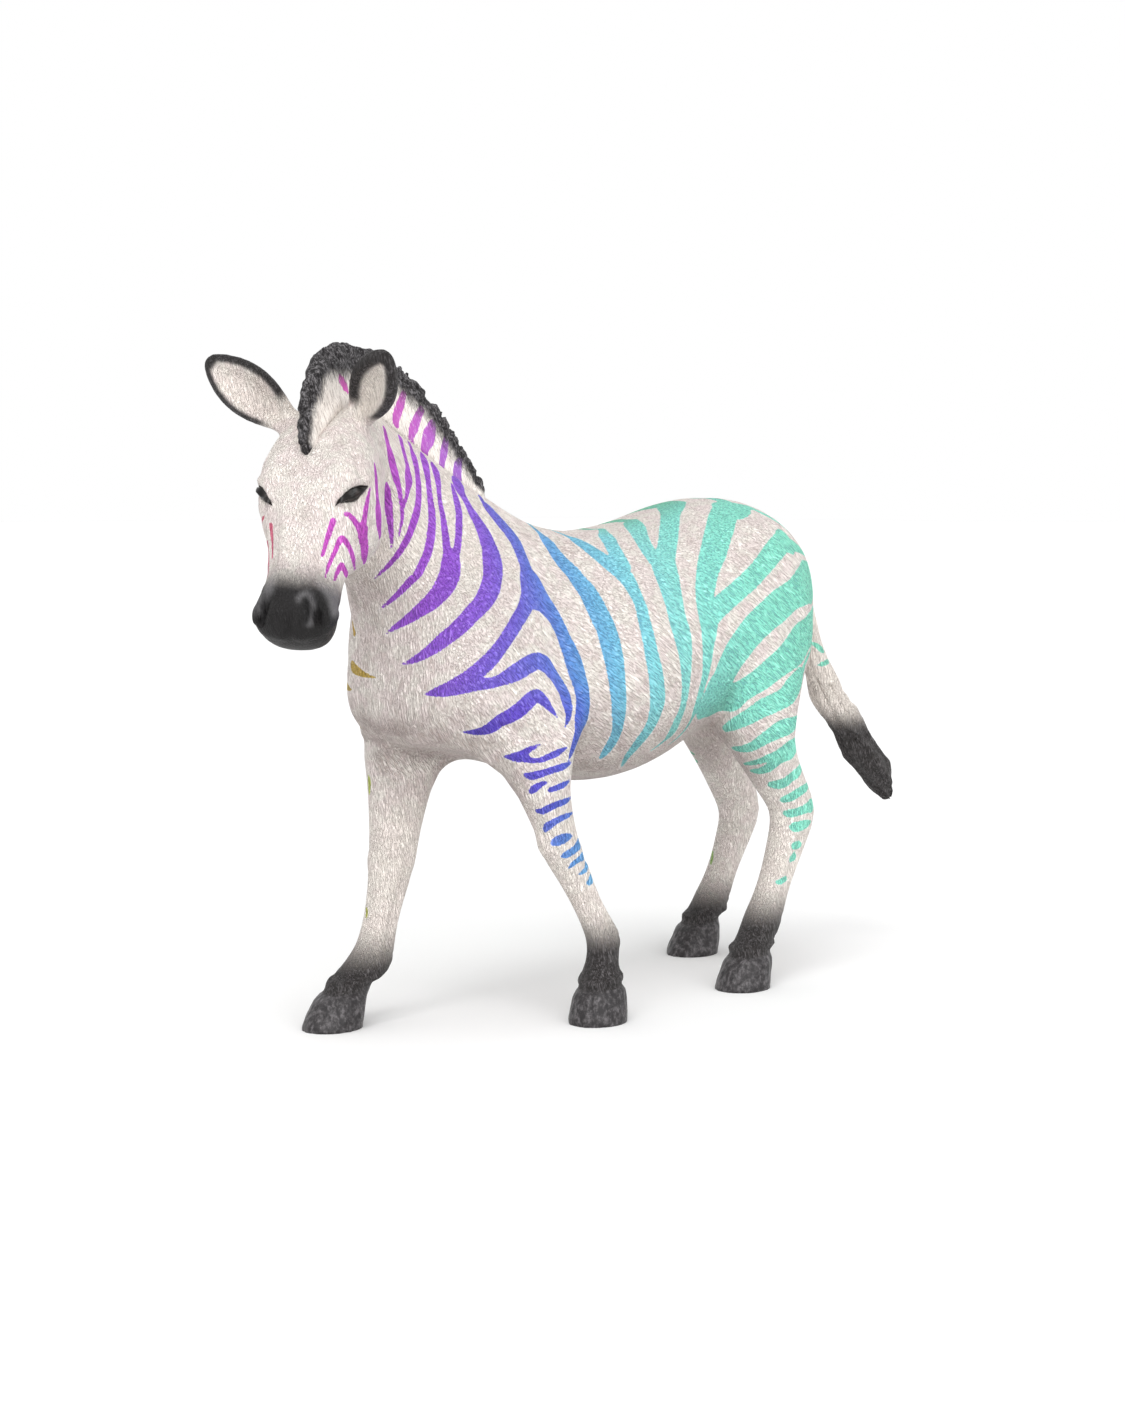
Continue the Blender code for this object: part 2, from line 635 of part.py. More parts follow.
def main():
    for old in list(bpy.data.objects):
        bpy.data.objects.remove(old)
    scene = bpy.context.scene
    figure = bpy.data.collections.new("toy_zebra")
    guides = bpy.data.collections.new("guides")
    for collection in (figure, guides):
        scene.collection.children.link(collection)

    torso = rounded(new_object("torso", animal_cage(), figure), 2)
    combined(torso, neck_block(SEAM_GAP), "DIFFERENCE")
    head = rounded(new_object("head_and_neck", animal_cage(), figure), 2)
    combined(head, neck_block(0.0), "INTERSECT")
    combined(head, neck_peg(0.0), "UNION")
    combined(torso, neck_peg(SEAM_GAP), "DIFFERENCE")

    for name in LEG_PATH_SHARES:
        leg = rounded(new_object(name, animal_cage(), figure), 1)
        combined(leg, leg_block(name, 0.0), "INTERSECT")
        combined(leg, leg_peg(name, 0.0), "UNION")
        combined(torso, leg_block(name, SEAM_GAP), "DIFFERENCE")
        combined(torso, leg_peg(name, SEAM_GAP), "DIFFERENCE")

    rounded(new_object("mane", mane_mesh(0.0), figure), 1)
    groove = rounded(guide("mane_groove", mane_mesh(SEAM_GAP)), 1)
    combined(torso, groove, "DIFFERENCE")
    combined(head, groove, "DIFFERENCE")

    rounded(new_object("tail", tail_mesh(0.0), figure), 1)
    combined(torso, rounded(guide("tail_socket", tail_mesh(SEAM_GAP)), 1), "DIFFERENCE")

    cup_rows = [(reach, max(width - 2.0 * EAR_WALL / EAR_WIDTH, 0.05), thickness)
                for reach, width, thickness in EAR_RING_SHARES[1:-1]]
    for name in EAR_SHARES:
        ear = rounded(new_object(name, ear_mesh(name, 0.0, EAR_RING_SHARES, 0.0), figure), 1)
        cup = rounded(guide(name + "_cup", ear_mesh(name, 0.0, cup_rows, EAR_THICKNESS / 2.0)), 1)
        combined(ear, cup, "DIFFERENCE")
        combined(head, rounded(guide(name + "_socket", ear_mesh(name, SEAM_GAP, EAR_RING_SHARES, 0.0)), 1),
                 "DIFFERENCE")

    for made in figure.objects:
        paint(made)
    centre_on_ground(figure, guides)


main()
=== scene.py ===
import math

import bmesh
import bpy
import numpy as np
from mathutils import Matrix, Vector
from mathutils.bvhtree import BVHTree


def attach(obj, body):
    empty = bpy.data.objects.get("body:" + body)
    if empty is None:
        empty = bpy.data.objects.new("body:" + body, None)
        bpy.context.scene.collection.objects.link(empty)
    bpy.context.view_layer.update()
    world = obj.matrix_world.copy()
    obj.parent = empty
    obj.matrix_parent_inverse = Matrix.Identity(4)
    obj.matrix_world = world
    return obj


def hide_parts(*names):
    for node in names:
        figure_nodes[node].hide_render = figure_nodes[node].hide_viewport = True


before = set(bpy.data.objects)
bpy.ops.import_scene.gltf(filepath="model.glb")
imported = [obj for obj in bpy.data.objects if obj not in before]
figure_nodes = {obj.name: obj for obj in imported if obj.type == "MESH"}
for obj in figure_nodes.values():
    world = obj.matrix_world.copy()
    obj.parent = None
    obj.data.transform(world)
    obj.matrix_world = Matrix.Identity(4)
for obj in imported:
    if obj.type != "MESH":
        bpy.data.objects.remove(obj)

# %% [markdown]
# # A toy zebra with stripes in the colours of the rainbow
# The real toy is moulded in vinyl from a sculpted master, and its coat is sprayed and pad-printed over the moulded
# hair. This file follows the same order: the frame gives the rough forms, sculpting gives muscles, face and hair, and
# the paint comes last. Sizes in the sculpting cells are in millimetres, because that is how a maker would say them.
# The figure faces -X, its left side is towards -Y, and the hooves stand on Z = 0.

MM = 0.001
for left_over in ("Cube", "Light", "Camera"):
    if left_over in bpy.data.objects:
        bpy.data.objects.remove(bpy.data.objects[left_over])
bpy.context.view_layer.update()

# %% [markdown]
# ## Camera
# The camera comes first, because the stripes are placed with it later: a stripe that is drawn at a pixel of the
# picture lands where the ray through that pixel meets the coat. A ray needs the camera's place, its two angles and
# its focal length in pixels, and all four are kept here as named values.

# %% Camera
PICTURE_WIDTH = 1125
PICTURE_HEIGHT = 1406
FOCAL_PIXELS = 2400.0
EYE_PLACE = np.array((-242.15, -229.26, 70.0))
EYE_HEADING = math.radians(45.6)
EYE_DROP = math.radians(4.835)

level_ahead = np.array((math.sin(EYE_HEADING), math.cos(EYE_HEADING), 0.0))
eye_right = np.array((level_ahead[1], -level_ahead[0], 0.0))
eye_ahead = level_ahead * math.cos(EYE_DROP) + np.array((0.0, 0.0, -math.sin(EYE_DROP)))
eye_up = np.cross(eye_right, eye_ahead)


def ray_through(x, y):
    """The direction from the camera through a pixel of the picture."""
    aside = (x - PICTURE_WIDTH / 2.0) / FOCAL_PIXELS
    down = (y - PICTURE_HEIGHT / 2.0) / FOCAL_PIXELS
    return eye_ahead + eye_right * aside - eye_up * down


camera_data = bpy.data.cameras.new("camera")
camera_data.sensor_width = 36.0
camera_data.lens = FOCAL_PIXELS / PICTURE_HEIGHT * camera_data.sensor_width
camera_data.clip_start = 0.01
camera_data.clip_end = 20.0
camera = bpy.data.objects.new("camera", camera_data)
camera.location = Vector(EYE_PLACE * MM)
camera.rotation_euler = Vector(eye_ahead).to_track_quat("-Z", "Y").to_euler()
bpy.context.collection.objects.link(camera)
bpy.context.scene.camera = camera
print("lens in mm", round(camera_data.lens, 2))

# %% [markdown]
# ## One skin over the whole body
# The frame's torso, head, legs, ears and tail are nine solids with hairline gaps, and the mane is a tenth. A sculptor
# would model the coat as one surface and cut it into mould pieces afterwards, so copies of the nine are joined,
# swollen a little until the gaps close, and remeshed into even cells. The swelling is taken off again afterwards.
# Subdividing each solid by itself would be simpler, but then muscles and stripes would break at each seam.

# %% Join, swell and remesh
BODY_NODES = ("torso", "head_and_neck", "front_left_leg", "front_right_leg", "rear_left_leg", "rear_right_leg",
              "left_ear", "right_ear", "tail")
SWELL = 0.25
CELL = 0.38
WELD = 0.001


def copied(name):
    """A separate copy of a node of the frame, with its place in its own mesh."""
    node = figure_nodes[name]
    mesh = node.data.copy()
    mesh.transform(node.matrix_world)
    mesh.materials.clear()
    copy = bpy.data.objects.new("copy_of_" + name, mesh)
    bpy.context.scene.collection.objects.link(copy)
    return copy


def only(piece):
    """Leaves one object selected and active."""
    bpy.ops.object.select_all(action="DESELECT")
    piece.select_set(True)
    bpy.context.view_layer.objects.active = piece


def remeshed(names, title, cell):
    """Copies of nodes joined, merged, swollen and remeshed into one even skin."""
    copies = [copied(name) for name in names]
    only(copies[0])
    for copy in copies:
        copy.select_set(True)
    if len(copies) > 1:
        bpy.ops.object.join()
    piece = bpy.context.view_layer.objects.active
    piece.name = title
    bpy.ops.object.mode_set(mode="EDIT")
    bpy.ops.mesh.select_all(action="SELECT")
    bpy.ops.mesh.remove_doubles(threshold=WELD * MM)
    bpy.ops.object.mode_set(mode="OBJECT")
    swell = piece.modifiers.new("swell", "DISPLACE")
    swell.strength = SWELL * MM
    swell.mid_level = 0.0
    remesh = piece.modifiers.new("cells", "REMESH")
    remesh.mode = "VOXEL"
    remesh.voxel_size = cell * MM
    for modifier in list(piece.modifiers):
        bpy.ops.object.modifier_apply(modifier=modifier.name)
    return piece


skin = remeshed(BODY_NODES, "skin", CELL)
print("skin faces", len(skin.data.polygons))

# %% [markdown]
# ## Soft edges and lumps
# Every stroke of a sculptor's tool has a soft edge, and so has every mask further down. Four helpers do them all: a
# round falloff, an eased step, the distance to a piece of a path, and soft lumps for hair and wear.

# %% Soft edges and lumps


def falloff(distance, radius):
    """1 at the middle, 0 at the radius, smooth at both ends."""
    share = np.clip(1.0 - (distance / radius) ** 2, 0.0, 1.0)
    return share * share


def ease(low, high, value):
    """0 below low and 1 above high, smooth between. With low above high it falls instead."""
    share = np.clip((value - low) / (high - low), 0.0, 1.0)
    return share * share * (3.0 - 2.0 * share)


def to_segment(points, start, end):
    """Distances from points to a straight piece of a path, and how far along it the nearest place is."""
    along = end - start
    share = np.clip((points - start) @ along / max(along @ along, 1e-9), 0.0, 1.0)
    return np.linalg.norm(points - start - share[:, None] * along, axis=1), share


def grain(points, size, seed=0):
    """Soft lumps of about the given size, from -1 to 1, from mixed-up numbers at the corners of a grid."""
    cell = points / size
    base = np.floor(cell).astype(np.int64)
    part = cell - base
    part = part * part * (3.0 - 2.0 * part)
    total = np.zeros(len(points))
    for corner in range(8):
        step = np.array([corner >> axis & 1 for axis in range(3)])
        spot = base + step
        mixed = (spot[:, 0] * 73856093) ^ (spot[:, 1] * 19349663) ^ (spot[:, 2] * 83492791) ^ (seed * 2654435)
        mixed = (mixed ^ (mixed >> 13)) * 1274126177 & 0x7FFFFFFF
        weight = np.prod(np.where(step, part, 1.0 - part), axis=1)
        total += weight * ((mixed % 10007) / 5003.0 - 1.0)
    return total


print("halfway", falloff(0.5, 1.0), "in a falloff and", ease(0.0, 1.0, 0.5), "in an eased step")

# %% [markdown]
# ## Clay
# Sculpting tools push vertices along the surface or out of it, with a soft falloff. The clay below holds the points
# of a mesh as an array in millimetres, so that one stroke over a hundred thousand points takes a moment. Modifiers
# such as Displace could do single bumps, but not the dozens that an animal's face needs.

# %% Clay


class Clay:
    """The points of a mesh, with the strokes a sculptor makes on it."""

    def __init__(self, piece):
        self.piece = piece
        mesh = piece.data
        flat = np.empty(len(mesh.vertices) * 3)
        mesh.vertices.foreach_get("co", flat)
        self.points = flat.reshape(-1, 3) / MM
        corners = np.empty(len(mesh.loops), dtype=np.int64)
        mesh.loops.foreach_get("vertex_index", corners)
        starts = np.empty(len(mesh.polygons), dtype=np.int64)
        mesh.polygons.foreach_get("loop_start", starts)
        self.quads = corners[starts[:, None] + np.arange(4)]
        pairs = np.empty(len(mesh.edges) * 2, dtype=np.int64)
        mesh.edges.foreach_get("vertices", pairs)
        self.pairs = pairs.reshape(-1, 2)
        self.valence = np.maximum(np.bincount(self.pairs.ravel(), minlength=len(self.points)), 1)

    def normals(self):
        """The direction out of the surface at each point."""
        a, b, c, d = (self.points[self.quads[:, corner]] for corner in range(4))
        across = np.cross(c - a, d - b)
        total = np.zeros_like(self.points)
        for corner in range(4):
            for axis in range(3):
                total[:, axis] += np.bincount(self.quads[:, corner], weights=across[:, axis],
                                              minlength=len(self.points))
        return total / np.maximum(np.linalg.norm(total, axis=1, keepdims=True), 1e-9)

    def averaged(self, values):
        """Each point's value replaced by the mean of its neighbours'."""
        first, second = self.pairs[:, 0], self.pairs[:, 1]
        total = np.bincount(first, weights=values[second], minlength=len(values))
        total += np.bincount(second, weights=values[first], minlength=len(values))
        return total / self.valence

    def smooth(self, times, share=1.0):
        """Moves points towards their neighbours' middle, all or a share of the way."""
        for _ in range(times):
            middle = np.stack([self.averaged(self.points[:, axis]) for axis in range(3)], axis=1)
            move = (middle - self.points) * 0.5
            self.points += move * (share if np.isscalar(share) else share[:, None])

    def push(self, amount):
        """Moves points out along their normals, or in where the amount is negative."""
        self.points += self.normals() * (amount[:, None] if isinstance(amount, np.ndarray) else amount)

    def dab(self, place, radius, height, stretch=None):
        """One round bump or dent. The stretch gives a direction and how much longer the dab is along it."""
        offset = self.points - np.asarray(place)
        if stretch is not None:
            direction, longer = stretch
            direction = np.asarray(direction) / np.linalg.norm(direction)
            along = offset @ direction
            offset = offset - direction * (along * (1.0 - 1.0 / longer))[:, None]
        self.push(height * falloff(np.linalg.norm(offset, axis=1), radius))

    def stroke(self, path, radius, height):
        """A ridge or a groove along a path of points, whose radius and height may change along it."""
        path = np.asarray(path, dtype=float)
        radii = np.broadcast_to(radius, len(path))
        heights = np.broadcast_to(height, len(path))
        reach = np.zeros(len(self.points))
        for index in range(len(path) - 1):
            away, share = to_segment(self.points, path[index], path[index + 1])
            wide = radii[index] * (1.0 - share) + radii[index + 1] * share
            high = heights[index] * (1.0 - share) + heights[index + 1] * share
            rise = falloff(away, wide) * high
            reach = np.where(np.abs(rise) > np.abs(reach), rise, reach)
        self.push(reach)

    def surface(self):
        """A tree for rays and nearest points."""
        return BVHTree.FromPolygons([Vector(point) for point in self.points], self.quads.tolist())

    def finish(self):
        """Writes the points back into the mesh."""
        self.piece.data.vertices.foreach_set("co", (self.points * MM).ravel())
        self.piece.data.update()


clay = Clay(skin)
clay.smooth(2)
clay.push(-SWELL)
clay.smooth(3)
coat_surface = clay.surface()
print("clay points", len(clay.points))

# %% [markdown]
# ## The bend of the neck
# The neck bends towards the figure's left, so "forwards" is not the same everywhere. Two helpers undo and redo the
# bend. With them the left and the right side of body, neck and head mirror each other exactly, which is how a
# sculptor checks symmetry.

# %% The bend
MIDDLE_SIDE = 1.745
BEND_START = -36.77
BEND_LENGTH = 12.3
BEND_TURN = math.radians(30.0)
BEND_RADIUS = BEND_LENGTH / BEND_TURN


def straightened(points):
    """Points as they would be if the neck weren't bent, with the middle of the body at side 0."""
    points = np.atleast_2d(points).astype(float)
    centre = np.array((BEND_START, MIDDLE_SIDE - BEND_RADIUS))
    offset = points[:, :2] - centre
    angle = np.arctan2(-offset[:, 0], offset[:, 1])
    result = points.copy()
    result[:, 1] = points[:, 1] - MIDDLE_SIDE
    bending = (angle > 0.0) & (points[:, 0] < BEND_START)
    result[bending, 0] = BEND_START - angle[bending] * BEND_RADIUS
    result[bending, 1] = np.linalg.norm(offset[bending], axis=1) - BEND_RADIUS
    past = bending & (angle > BEND_TURN)
    heading = np.array((-math.cos(BEND_TURN), -math.sin(BEND_TURN)))
    left = np.array((math.sin(BEND_TURN), -math.cos(BEND_TURN)))
    end = centre - left * BEND_RADIUS
    away = points[past, :2] - end
    result[past, 0] = BEND_START - BEND_LENGTH - away @ heading
    result[past, 1] = -(away @ left)
    return result


def bent(points):
    """The opposite of straightened."""
    points = np.atleast_2d(points).astype(float)
    ahead = BEND_START - points[:, 0]
    angle = np.clip(ahead / BEND_RADIUS, 0.0, BEND_TURN)
    past = np.maximum(ahead - BEND_LENGTH, 0.0)
    result = points.copy()
    result[:, 0] = BEND_START - BEND_RADIUS * np.sin(angle) - np.cos(angle) * past - np.sin(angle) * points[:, 1]
    result[:, 1] = MIDDLE_SIDE - BEND_RADIUS * (1.0 - np.cos(angle)) - np.sin(angle) * past
    result[:, 1] += np.cos(angle) * points[:, 1]
    straight = ahead <= 0.0
    result[straight, 0] = points[straight, 0]
    result[straight, 1] = points[straight, 1] + MIDDLE_SIDE
    return result


def mirrored(points):
    """The same places on the other side of the body."""
    flat = straightened(points)
    flat[:, 1] *= -1.0
    return bent(flat)


print("a place on the neck in mm, mirrored", mirrored((-30.0, -8.0, 60.0)).round(1))

# %% [markdown]
# ## The head's directions
# The head gets its own three directions: down the face, out of it, and to the left, counted from the poll between the
# ears. A place can also be given by a pixel of the picture, as the first that the camera sees there.

# %% The head's directions
POLL = np.array((-51.77, -3.29, 78.68))
DOWN_FACE = np.array((-0.4066, -0.2347, -0.8829))
OUT_OF_FACE = np.array((-0.7647, -0.4415, 0.4695))
TO_LEFT = np.array((0.5, -0.8660, 0.0))


def on_head(along, out, left):
    """A place given along the face, out of it and to the left."""
    return POLL + DOWN_FACE * along + OUT_OF_FACE * out + TO_LEFT * left


def seen_at(x, y, surface=None):
    """The place on the coat that the camera sees at a pixel, or None beside it."""
    hit = (surface or coat_surface).ray_cast(Vector(EYE_PLACE), Vector(ray_through(x, y)))
    return None if hit[0] is None else np.array(hit[0])


def head_share(place):
    """Along, out and left of a place on the head."""
    offset = np.asarray(place) - POLL
    return np.array((offset @ DOWN_FACE, offset @ OUT_OF_FACE, offset @ TO_LEFT))


print("the left eye along, out and left in mm", head_share(seen_at(351, 495)).round(1))

# %% [markdown]
# ## Face
# A zebra's face is built of few big planes: a flat forehead, a brow that shades each eye, a straight nasal bone with
# a hollow beside it, a round cheek and a soft muzzle with wide nostrils. Each is one or two strokes of clay, made the
# same on both sides, so the face stays even. The sockets are almond-shaped, because a lid that overhangs the eye gives
# the calm look that the picture has.

# %% Face strokes


def head_dabs(place, radius, height, pull=None):
    """The same dab on both sides of the head. A pull says along, out and how much longer the dab is that way."""
    along, out, left = place
    stretch = None if pull is None else (DOWN_FACE * pull[0] + OUT_OF_FACE * pull[1], pull[2])
    for side in (1.0, -1.0):
        clay.dab(on_head(along, out, left * side), radius, height, stretch)


def head_strokes(path, radius, height):
    """The same ridge or groove on both sides of the head."""
    for side in (1.0, -1.0):
        clay.stroke([on_head(along, out, left * side) for along, out, left in path], radius, height)


# The brow, the socket and the rims around it.
head_dabs((8.3, 5.2, 5), 3.4, 0.55, (1, -0.2, 1.5))
head_strokes(((9, 4.9, 5.4), (10.6, 3.2, 6.6), (12, 1.6, 6.9)), 1.5, 0.28)
head_dabs((11.3, 3.7, 5.9), 2.3, -0.75, (0.75, -0.55, 1.7))
head_strokes(((13.4, 3.6, 4.7), (13.6, 2, 6.2)), 1.3, 0.22)
# The edge of the nasal bone and the hollow beside it.
head_strokes(((10, 5.3, 1.7), (13, 5, 1.6), (17, 4.4, 1.4), (21, 3.9, 1.3)), 1.3, 0.24)
head_strokes(((13.5, 3.9, 4.2), (17, 3, 3.9), (21, 2.4, 3.6)), 1.9, -0.42)
# The bone over the eye, the creases behind it and the fine line under the nasal bone.
head_strokes(((6.5, 5, 3.6), (9, 5.3, 4.2), (10.6, 4.6, 5.4)), 1.4, 0.30)
head_strokes(((7.6, 3.9, 6), (9.2, 3.4, 6.7), (11, 2, 7.3)), 0.8, -0.34)
head_strokes(((5.6, 4.4, 5), (7, 4.4, 6), (8.4, 3.6, 6.9)), 0.8, -0.26)
head_strokes(((8.6, 5.2, 3.2), (9.8, 4.9, 4.4), (10.6, 4.4, 5.6)), 0.7, 0.30)
head_strokes(((14.4, 4.4, 3), (17, 3.8, 2.9), (20, 3.3, 2.7)), 0.9, -0.26)
# The bony crest of the cheek, the hollow under it, the round of the cheek and the edge of the jaw.
head_strokes(((14, 1, 6.4), (16.5, 0.6, 5.8), (19, 0.4, 5)), 1.3, 0.26)
head_strokes(((13, -1.4, 7), (16, -2.6, 6.3), (18.5, -3, 5.4)), 1.2, -0.30)
head_dabs((13.5, -3, 5.6), 5.2, 0.55)
head_strokes(((9.5, -7, 5), (13, -8, 4.6), (16.5, -6.4, 4.2)), 2.2, 0.30)
# The side of the muzzle, the nostrils with their rims, the mouth and the lip.
head_strokes(((17, -1, 4.6), (20.5, -0.6, 3.9), (22.5, -0.4, 3.9)), 1.8, 0.30)
head_dabs((25.6, 1.2, 4.6), 2.6, 0.38)
head_strokes(((24.2, 3.9, 2.7), (25.3, 3.7, 3.3), (26.5, 2.9, 3.6), (27.1, 2, 3.6)), (0.7, 1.15, 1.05, 0.6), -1.3)
head_strokes(((23.5, 4.2, 2.2), (23.6, 3.7, 3.5), (25.2, 2.9, 4.5), (26.8, 1.8, 4.5)), 0.9, 0.42)
head_strokes(((24.6, 4.6, 1.5), (26.2, 4.3, 2), (27.4, 3, 2.6)), 0.8, 0.30)
head_strokes(((24.2, 4.5, 1.6), (25.6, 4.3, 1.9), (27, 3.4, 2.4)), 0.9, 0.20)
head_strokes(((27.9, -0.6, 0), (27, -0.9, 2.4), (25.2, -1.3, 4), (23.4, -1.6, 4.6), (21.8, -1.5, 4.3)),
             (0.7, 0.7, 0.65, 0.6, 0.4), (-0.55, -0.55, -0.5, -0.35, -0.1))
head_strokes(((28.3, 1, 1), (27.2, 0.6, 3.6), (25, 0.2, 4.9)), 1.1, 0.22)
clay.stroke([on_head(26.0, 4.4, 0.0), on_head(28.2, 2.2, 0.0)], 0.8, -0.22)

# The lids, from their lines in the picture.
UPPER_LID = ((335.8, 505.5), (338.5, 500.6), (342, 496), (347, 491.5), (352, 488.8), (358, 487.1), (363, 486.5),
             (367.5, 486.8))
LOWER_LID = ((335.8, 505.5), (340, 502.8), (344, 501.6), (349, 502), (354, 500.9), (358.5, 498), (363, 493),
             (367.5, 486.8))
socket_surface = clay.surface()
upper_lid = [head_share(seen_at(x, y, socket_surface)) for x, y in UPPER_LID]
lower_lid = [head_share(seen_at(x, y, socket_surface)) for x, y in LOWER_LID]
lid_fold = [place + (-0.75, 0.25, 0.0) for place in upper_lid[1:]]
lid_crease = [place + (-1.6, 0.5, 0.0) for place in upper_lid[1:-1]]
pouch = [place + (0.7, 0.0, 0.1) for place in lower_lid[1:-1]]
head_strokes(lid_fold, 0.75, 0.30)
head_strokes(lid_crease, 0.55, -0.16)
head_strokes(pouch, 0.7, 0.18)
print("face sculpted, lids traced by", len(upper_lid), "and", len(lower_lid), "points")

# %% [markdown]
# ## Trunk and neck
# Under a zebra's short coat the shoulder blade, the elbow, the stifle and the muscles of the rump show. They are
# shallow, so most are soft strokes of a quarter to half a millimetre, made on both sides. A walking animal isn't the
# same on both sides, though: the breast bulges over the leg that steps forwards, with a crease under it, and the skin
# folds at the elbow that lies back. These, a touch at the left brow and one beside the mane are single strokes.

# %% Trunk and neck strokes


def body_strokes(path, radius, height):
    """The same ridge or groove on both sides of trunk and neck, given as x, distance from the middle, and z."""
    for side in (-1.0, 1.0):
        clay.stroke(bent([(x, side * y, z) for x, y, z in path]), radius, height)


# The shoulder blade, the groove behind it and the elbow.
body_strokes(((-24, 8, 62), (-29, 12, 52), (-31, 13, 45)), 3.2, 0.35)
body_strokes(((-19.5, 10, 60), (-20.5, 13, 51), (-19.5, 13.5, 43)), 2.6, -0.35)
body_strokes(((-15.5, 13, 44), (-18.5, 13, 39.5)), 3, 0.35)
# The groove where the neck begins and the muscle in front of it.
body_strokes(((-36, 7, 60), (-40, 8, 50), (-41, 7, 44)), 3.2, -0.30)
body_strokes(((-44, 6, 66), (-43, 6, 58), (-41, 6, 51)), 2.8, 0.22)
# The stifle, the thigh, and the hollow of the flank between them.
body_strokes(((17, 12, 52), (20, 12.5, 44), (17, 12, 37)), 3.4, 0.25)
body_strokes(((21.5, 12, 42), (23, 11.5, 37)), 3.2, 0.35)
body_strokes(((24, 9, 66), (31, 12, 56), (35, 12, 47)), 4, 0.30)
body_strokes(((22, 10, 62), (25, 13, 55)), 2.8, -0.20)
# The breast, the crease under it and the fold of the left elbow.
clay.dab((-36.4, 10.6, 42.6), 4.4, 0.75)
clay.dab((-37.6, 9.4, 46), 3.6, 0.35)
clay.dab((-32.5, 13.6, 37.2), 2, -0.4)
clay.dab((-33, -9, 44), 4.2, 0.35)
clay.stroke([(-33, 11.8, 38), (-35, 7, 38.5), (-36.4, 2, 38.7)], 1.7, -0.5)
clay.stroke([(-29.2, -10.5, 40.9), (-27.4, -11.3, 40.2), (-25, -11.8, 39.2)], 1.2, -0.4)
# The left brow, the skin beside the mane, and the furrow of the back.
clay.stroke([(-57.6, -10.2, 74.1), (-56.2, -11.1, 74.6), (-55, -11.2, 74.9)], 0.8, -0.12)
clay.stroke([(-56.4, -7.9, 77.5), (-54.8, -8.1, 78.7), (-52.4, -7.9, 80.1)], 1.5, 0.42)
clay.stroke([(-20, MIDDLE_SIDE, 70), (0, MIDDLE_SIDE, 65.5), (22, MIDDLE_SIDE, 69),
             (34.0, MIDDLE_SIDE, 67.0)], 2.4, -0.22)
print("trunk and neck sculpted, reach in mm", np.ptp(clay.points, axis=0).round(1))

# %% [markdown]
# ## Tail
# The tail ends in a tuft of moulded hair that is wound a little, like a rope. So each point of the tail gets two
# numbers, how far down the tail's middle line it lies and at which angle round it. A wave of both makes locks that
# wind, and a noise breaks them up. Curves would look finer, but a moulded tuft is one lump.

# %% Tail locks
TAIL_PATH = np.array(((36.2, 1.7, 66.2), (41.3, 1.7, 62.2), (45.2, 1.6, 55.3), (47.4, 1.3, 48.3), (50.0, 0.8, 42.0),
                      (54.4, 0.4, 36.1), (59.8, -0.1, 30.1), (63.6, -0.6, 25.3), (65.9, -0.9, 22.3)))
TAIL_STRANDS = 7
tail_away = np.full(len(clay.points), 99.0)
tail_gone = np.zeros(len(clay.points))
tail_angle = np.zeros(len(clay.points))
gone = 0.0
for start, end in zip(TAIL_PATH, TAIL_PATH[1:]):
    away, share = to_segment(clay.points, start, end)
    offset = clay.points - start - share[:, None] * (end - start)
    flat_way = np.cross((0.0, 1.0, 0.0), (end - start) / np.linalg.norm(end - start))
    closer = away < tail_away
    tail_away = np.where(closer, away, tail_away)
    tail_gone = np.where(closer, gone + share * np.linalg.norm(end - start), tail_gone)
    tail_angle = np.where(closer, np.arctan2(offset[:, 1], offset @ flat_way), tail_angle)
    gone += np.linalg.norm(end - start)
on_tail = (tail_away < 6.0) * ease(42.6, 44.5, clay.points[:, 0])
in_tuft = on_tail * ease(46.0, 40.0, clay.points[:, 2])
locks = 0.26 * np.sin(tail_gone * 0.62 + tail_angle) + 0.30 * grain(clay.points, 3.1, 6)
strands = np.sin(tail_angle * TAIL_STRANDS + tail_gone * 0.25 + 0.8 * np.sin(tail_gone * 0.5))
clay.push(in_tuft * (locks + 0.15 * strands + 0.16 * grain(clay.points, 1.2, 5)) + on_tail * 0.06 * strands)
clay.push(0.55 * on_tail * falloff(np.abs(clay.points[:, 2] - 41.0), 8.0))
clay.push(-0.5 * on_tail * ease(27.0, 22.5, clay.points[:, 2]))
print("tail in mm", round(float(gone), 1), "long, points on it", int((on_tail > 0.5).sum()))

# %% [markdown]
# ## Legs
# Knees and hocks are boxier than the bones between them, fetlocks bulge to the rear, and a tendon runs down behind each
# cannon bone with a groove before it. The four legs stand at four slants, so each stroke is placed by the leg's own
# joints, from the root over the knee or hock and the fetlock to the coronet and the sole. That way one loop does all.

# %% Leg strokes
LEG_JOINTS = {
    "front_left_leg": ((-23.2, -9.6, 36.8), (-17.9, -9.3, 24.3), (-9.7, -9.4, 10.5), (-11.2, -9.7, 4.8),
                       (-11.3, -9.9, 0.0)),
    "front_right_leg": ((-26.1, 12.8, 36.8), (-28.2, 12.6, 21.4), (-32.0, 12.8, 8.3), (-37.8, 12.8, 4.3),
                        (-38.9, 12.8, 0.0)),
    "rear_left_leg": ((22.4, -7.9, 41.3), (31.5, -9.0, 24.5), (23.5, -9.3, 9.1), (20.3, -9.3, 4.6), (19.5, -9.3, 0.0)),
    "rear_right_leg": ((34.6, 11.4, 41.3), (45.7, 13.2, 21.4), (38.8, 13.7, 7.8), (35.6, 13.7, 4.4),
                       (34.6, 13.7, 0.0)),
}
ahead = np.array((-1.0, 0.0, 0.0))

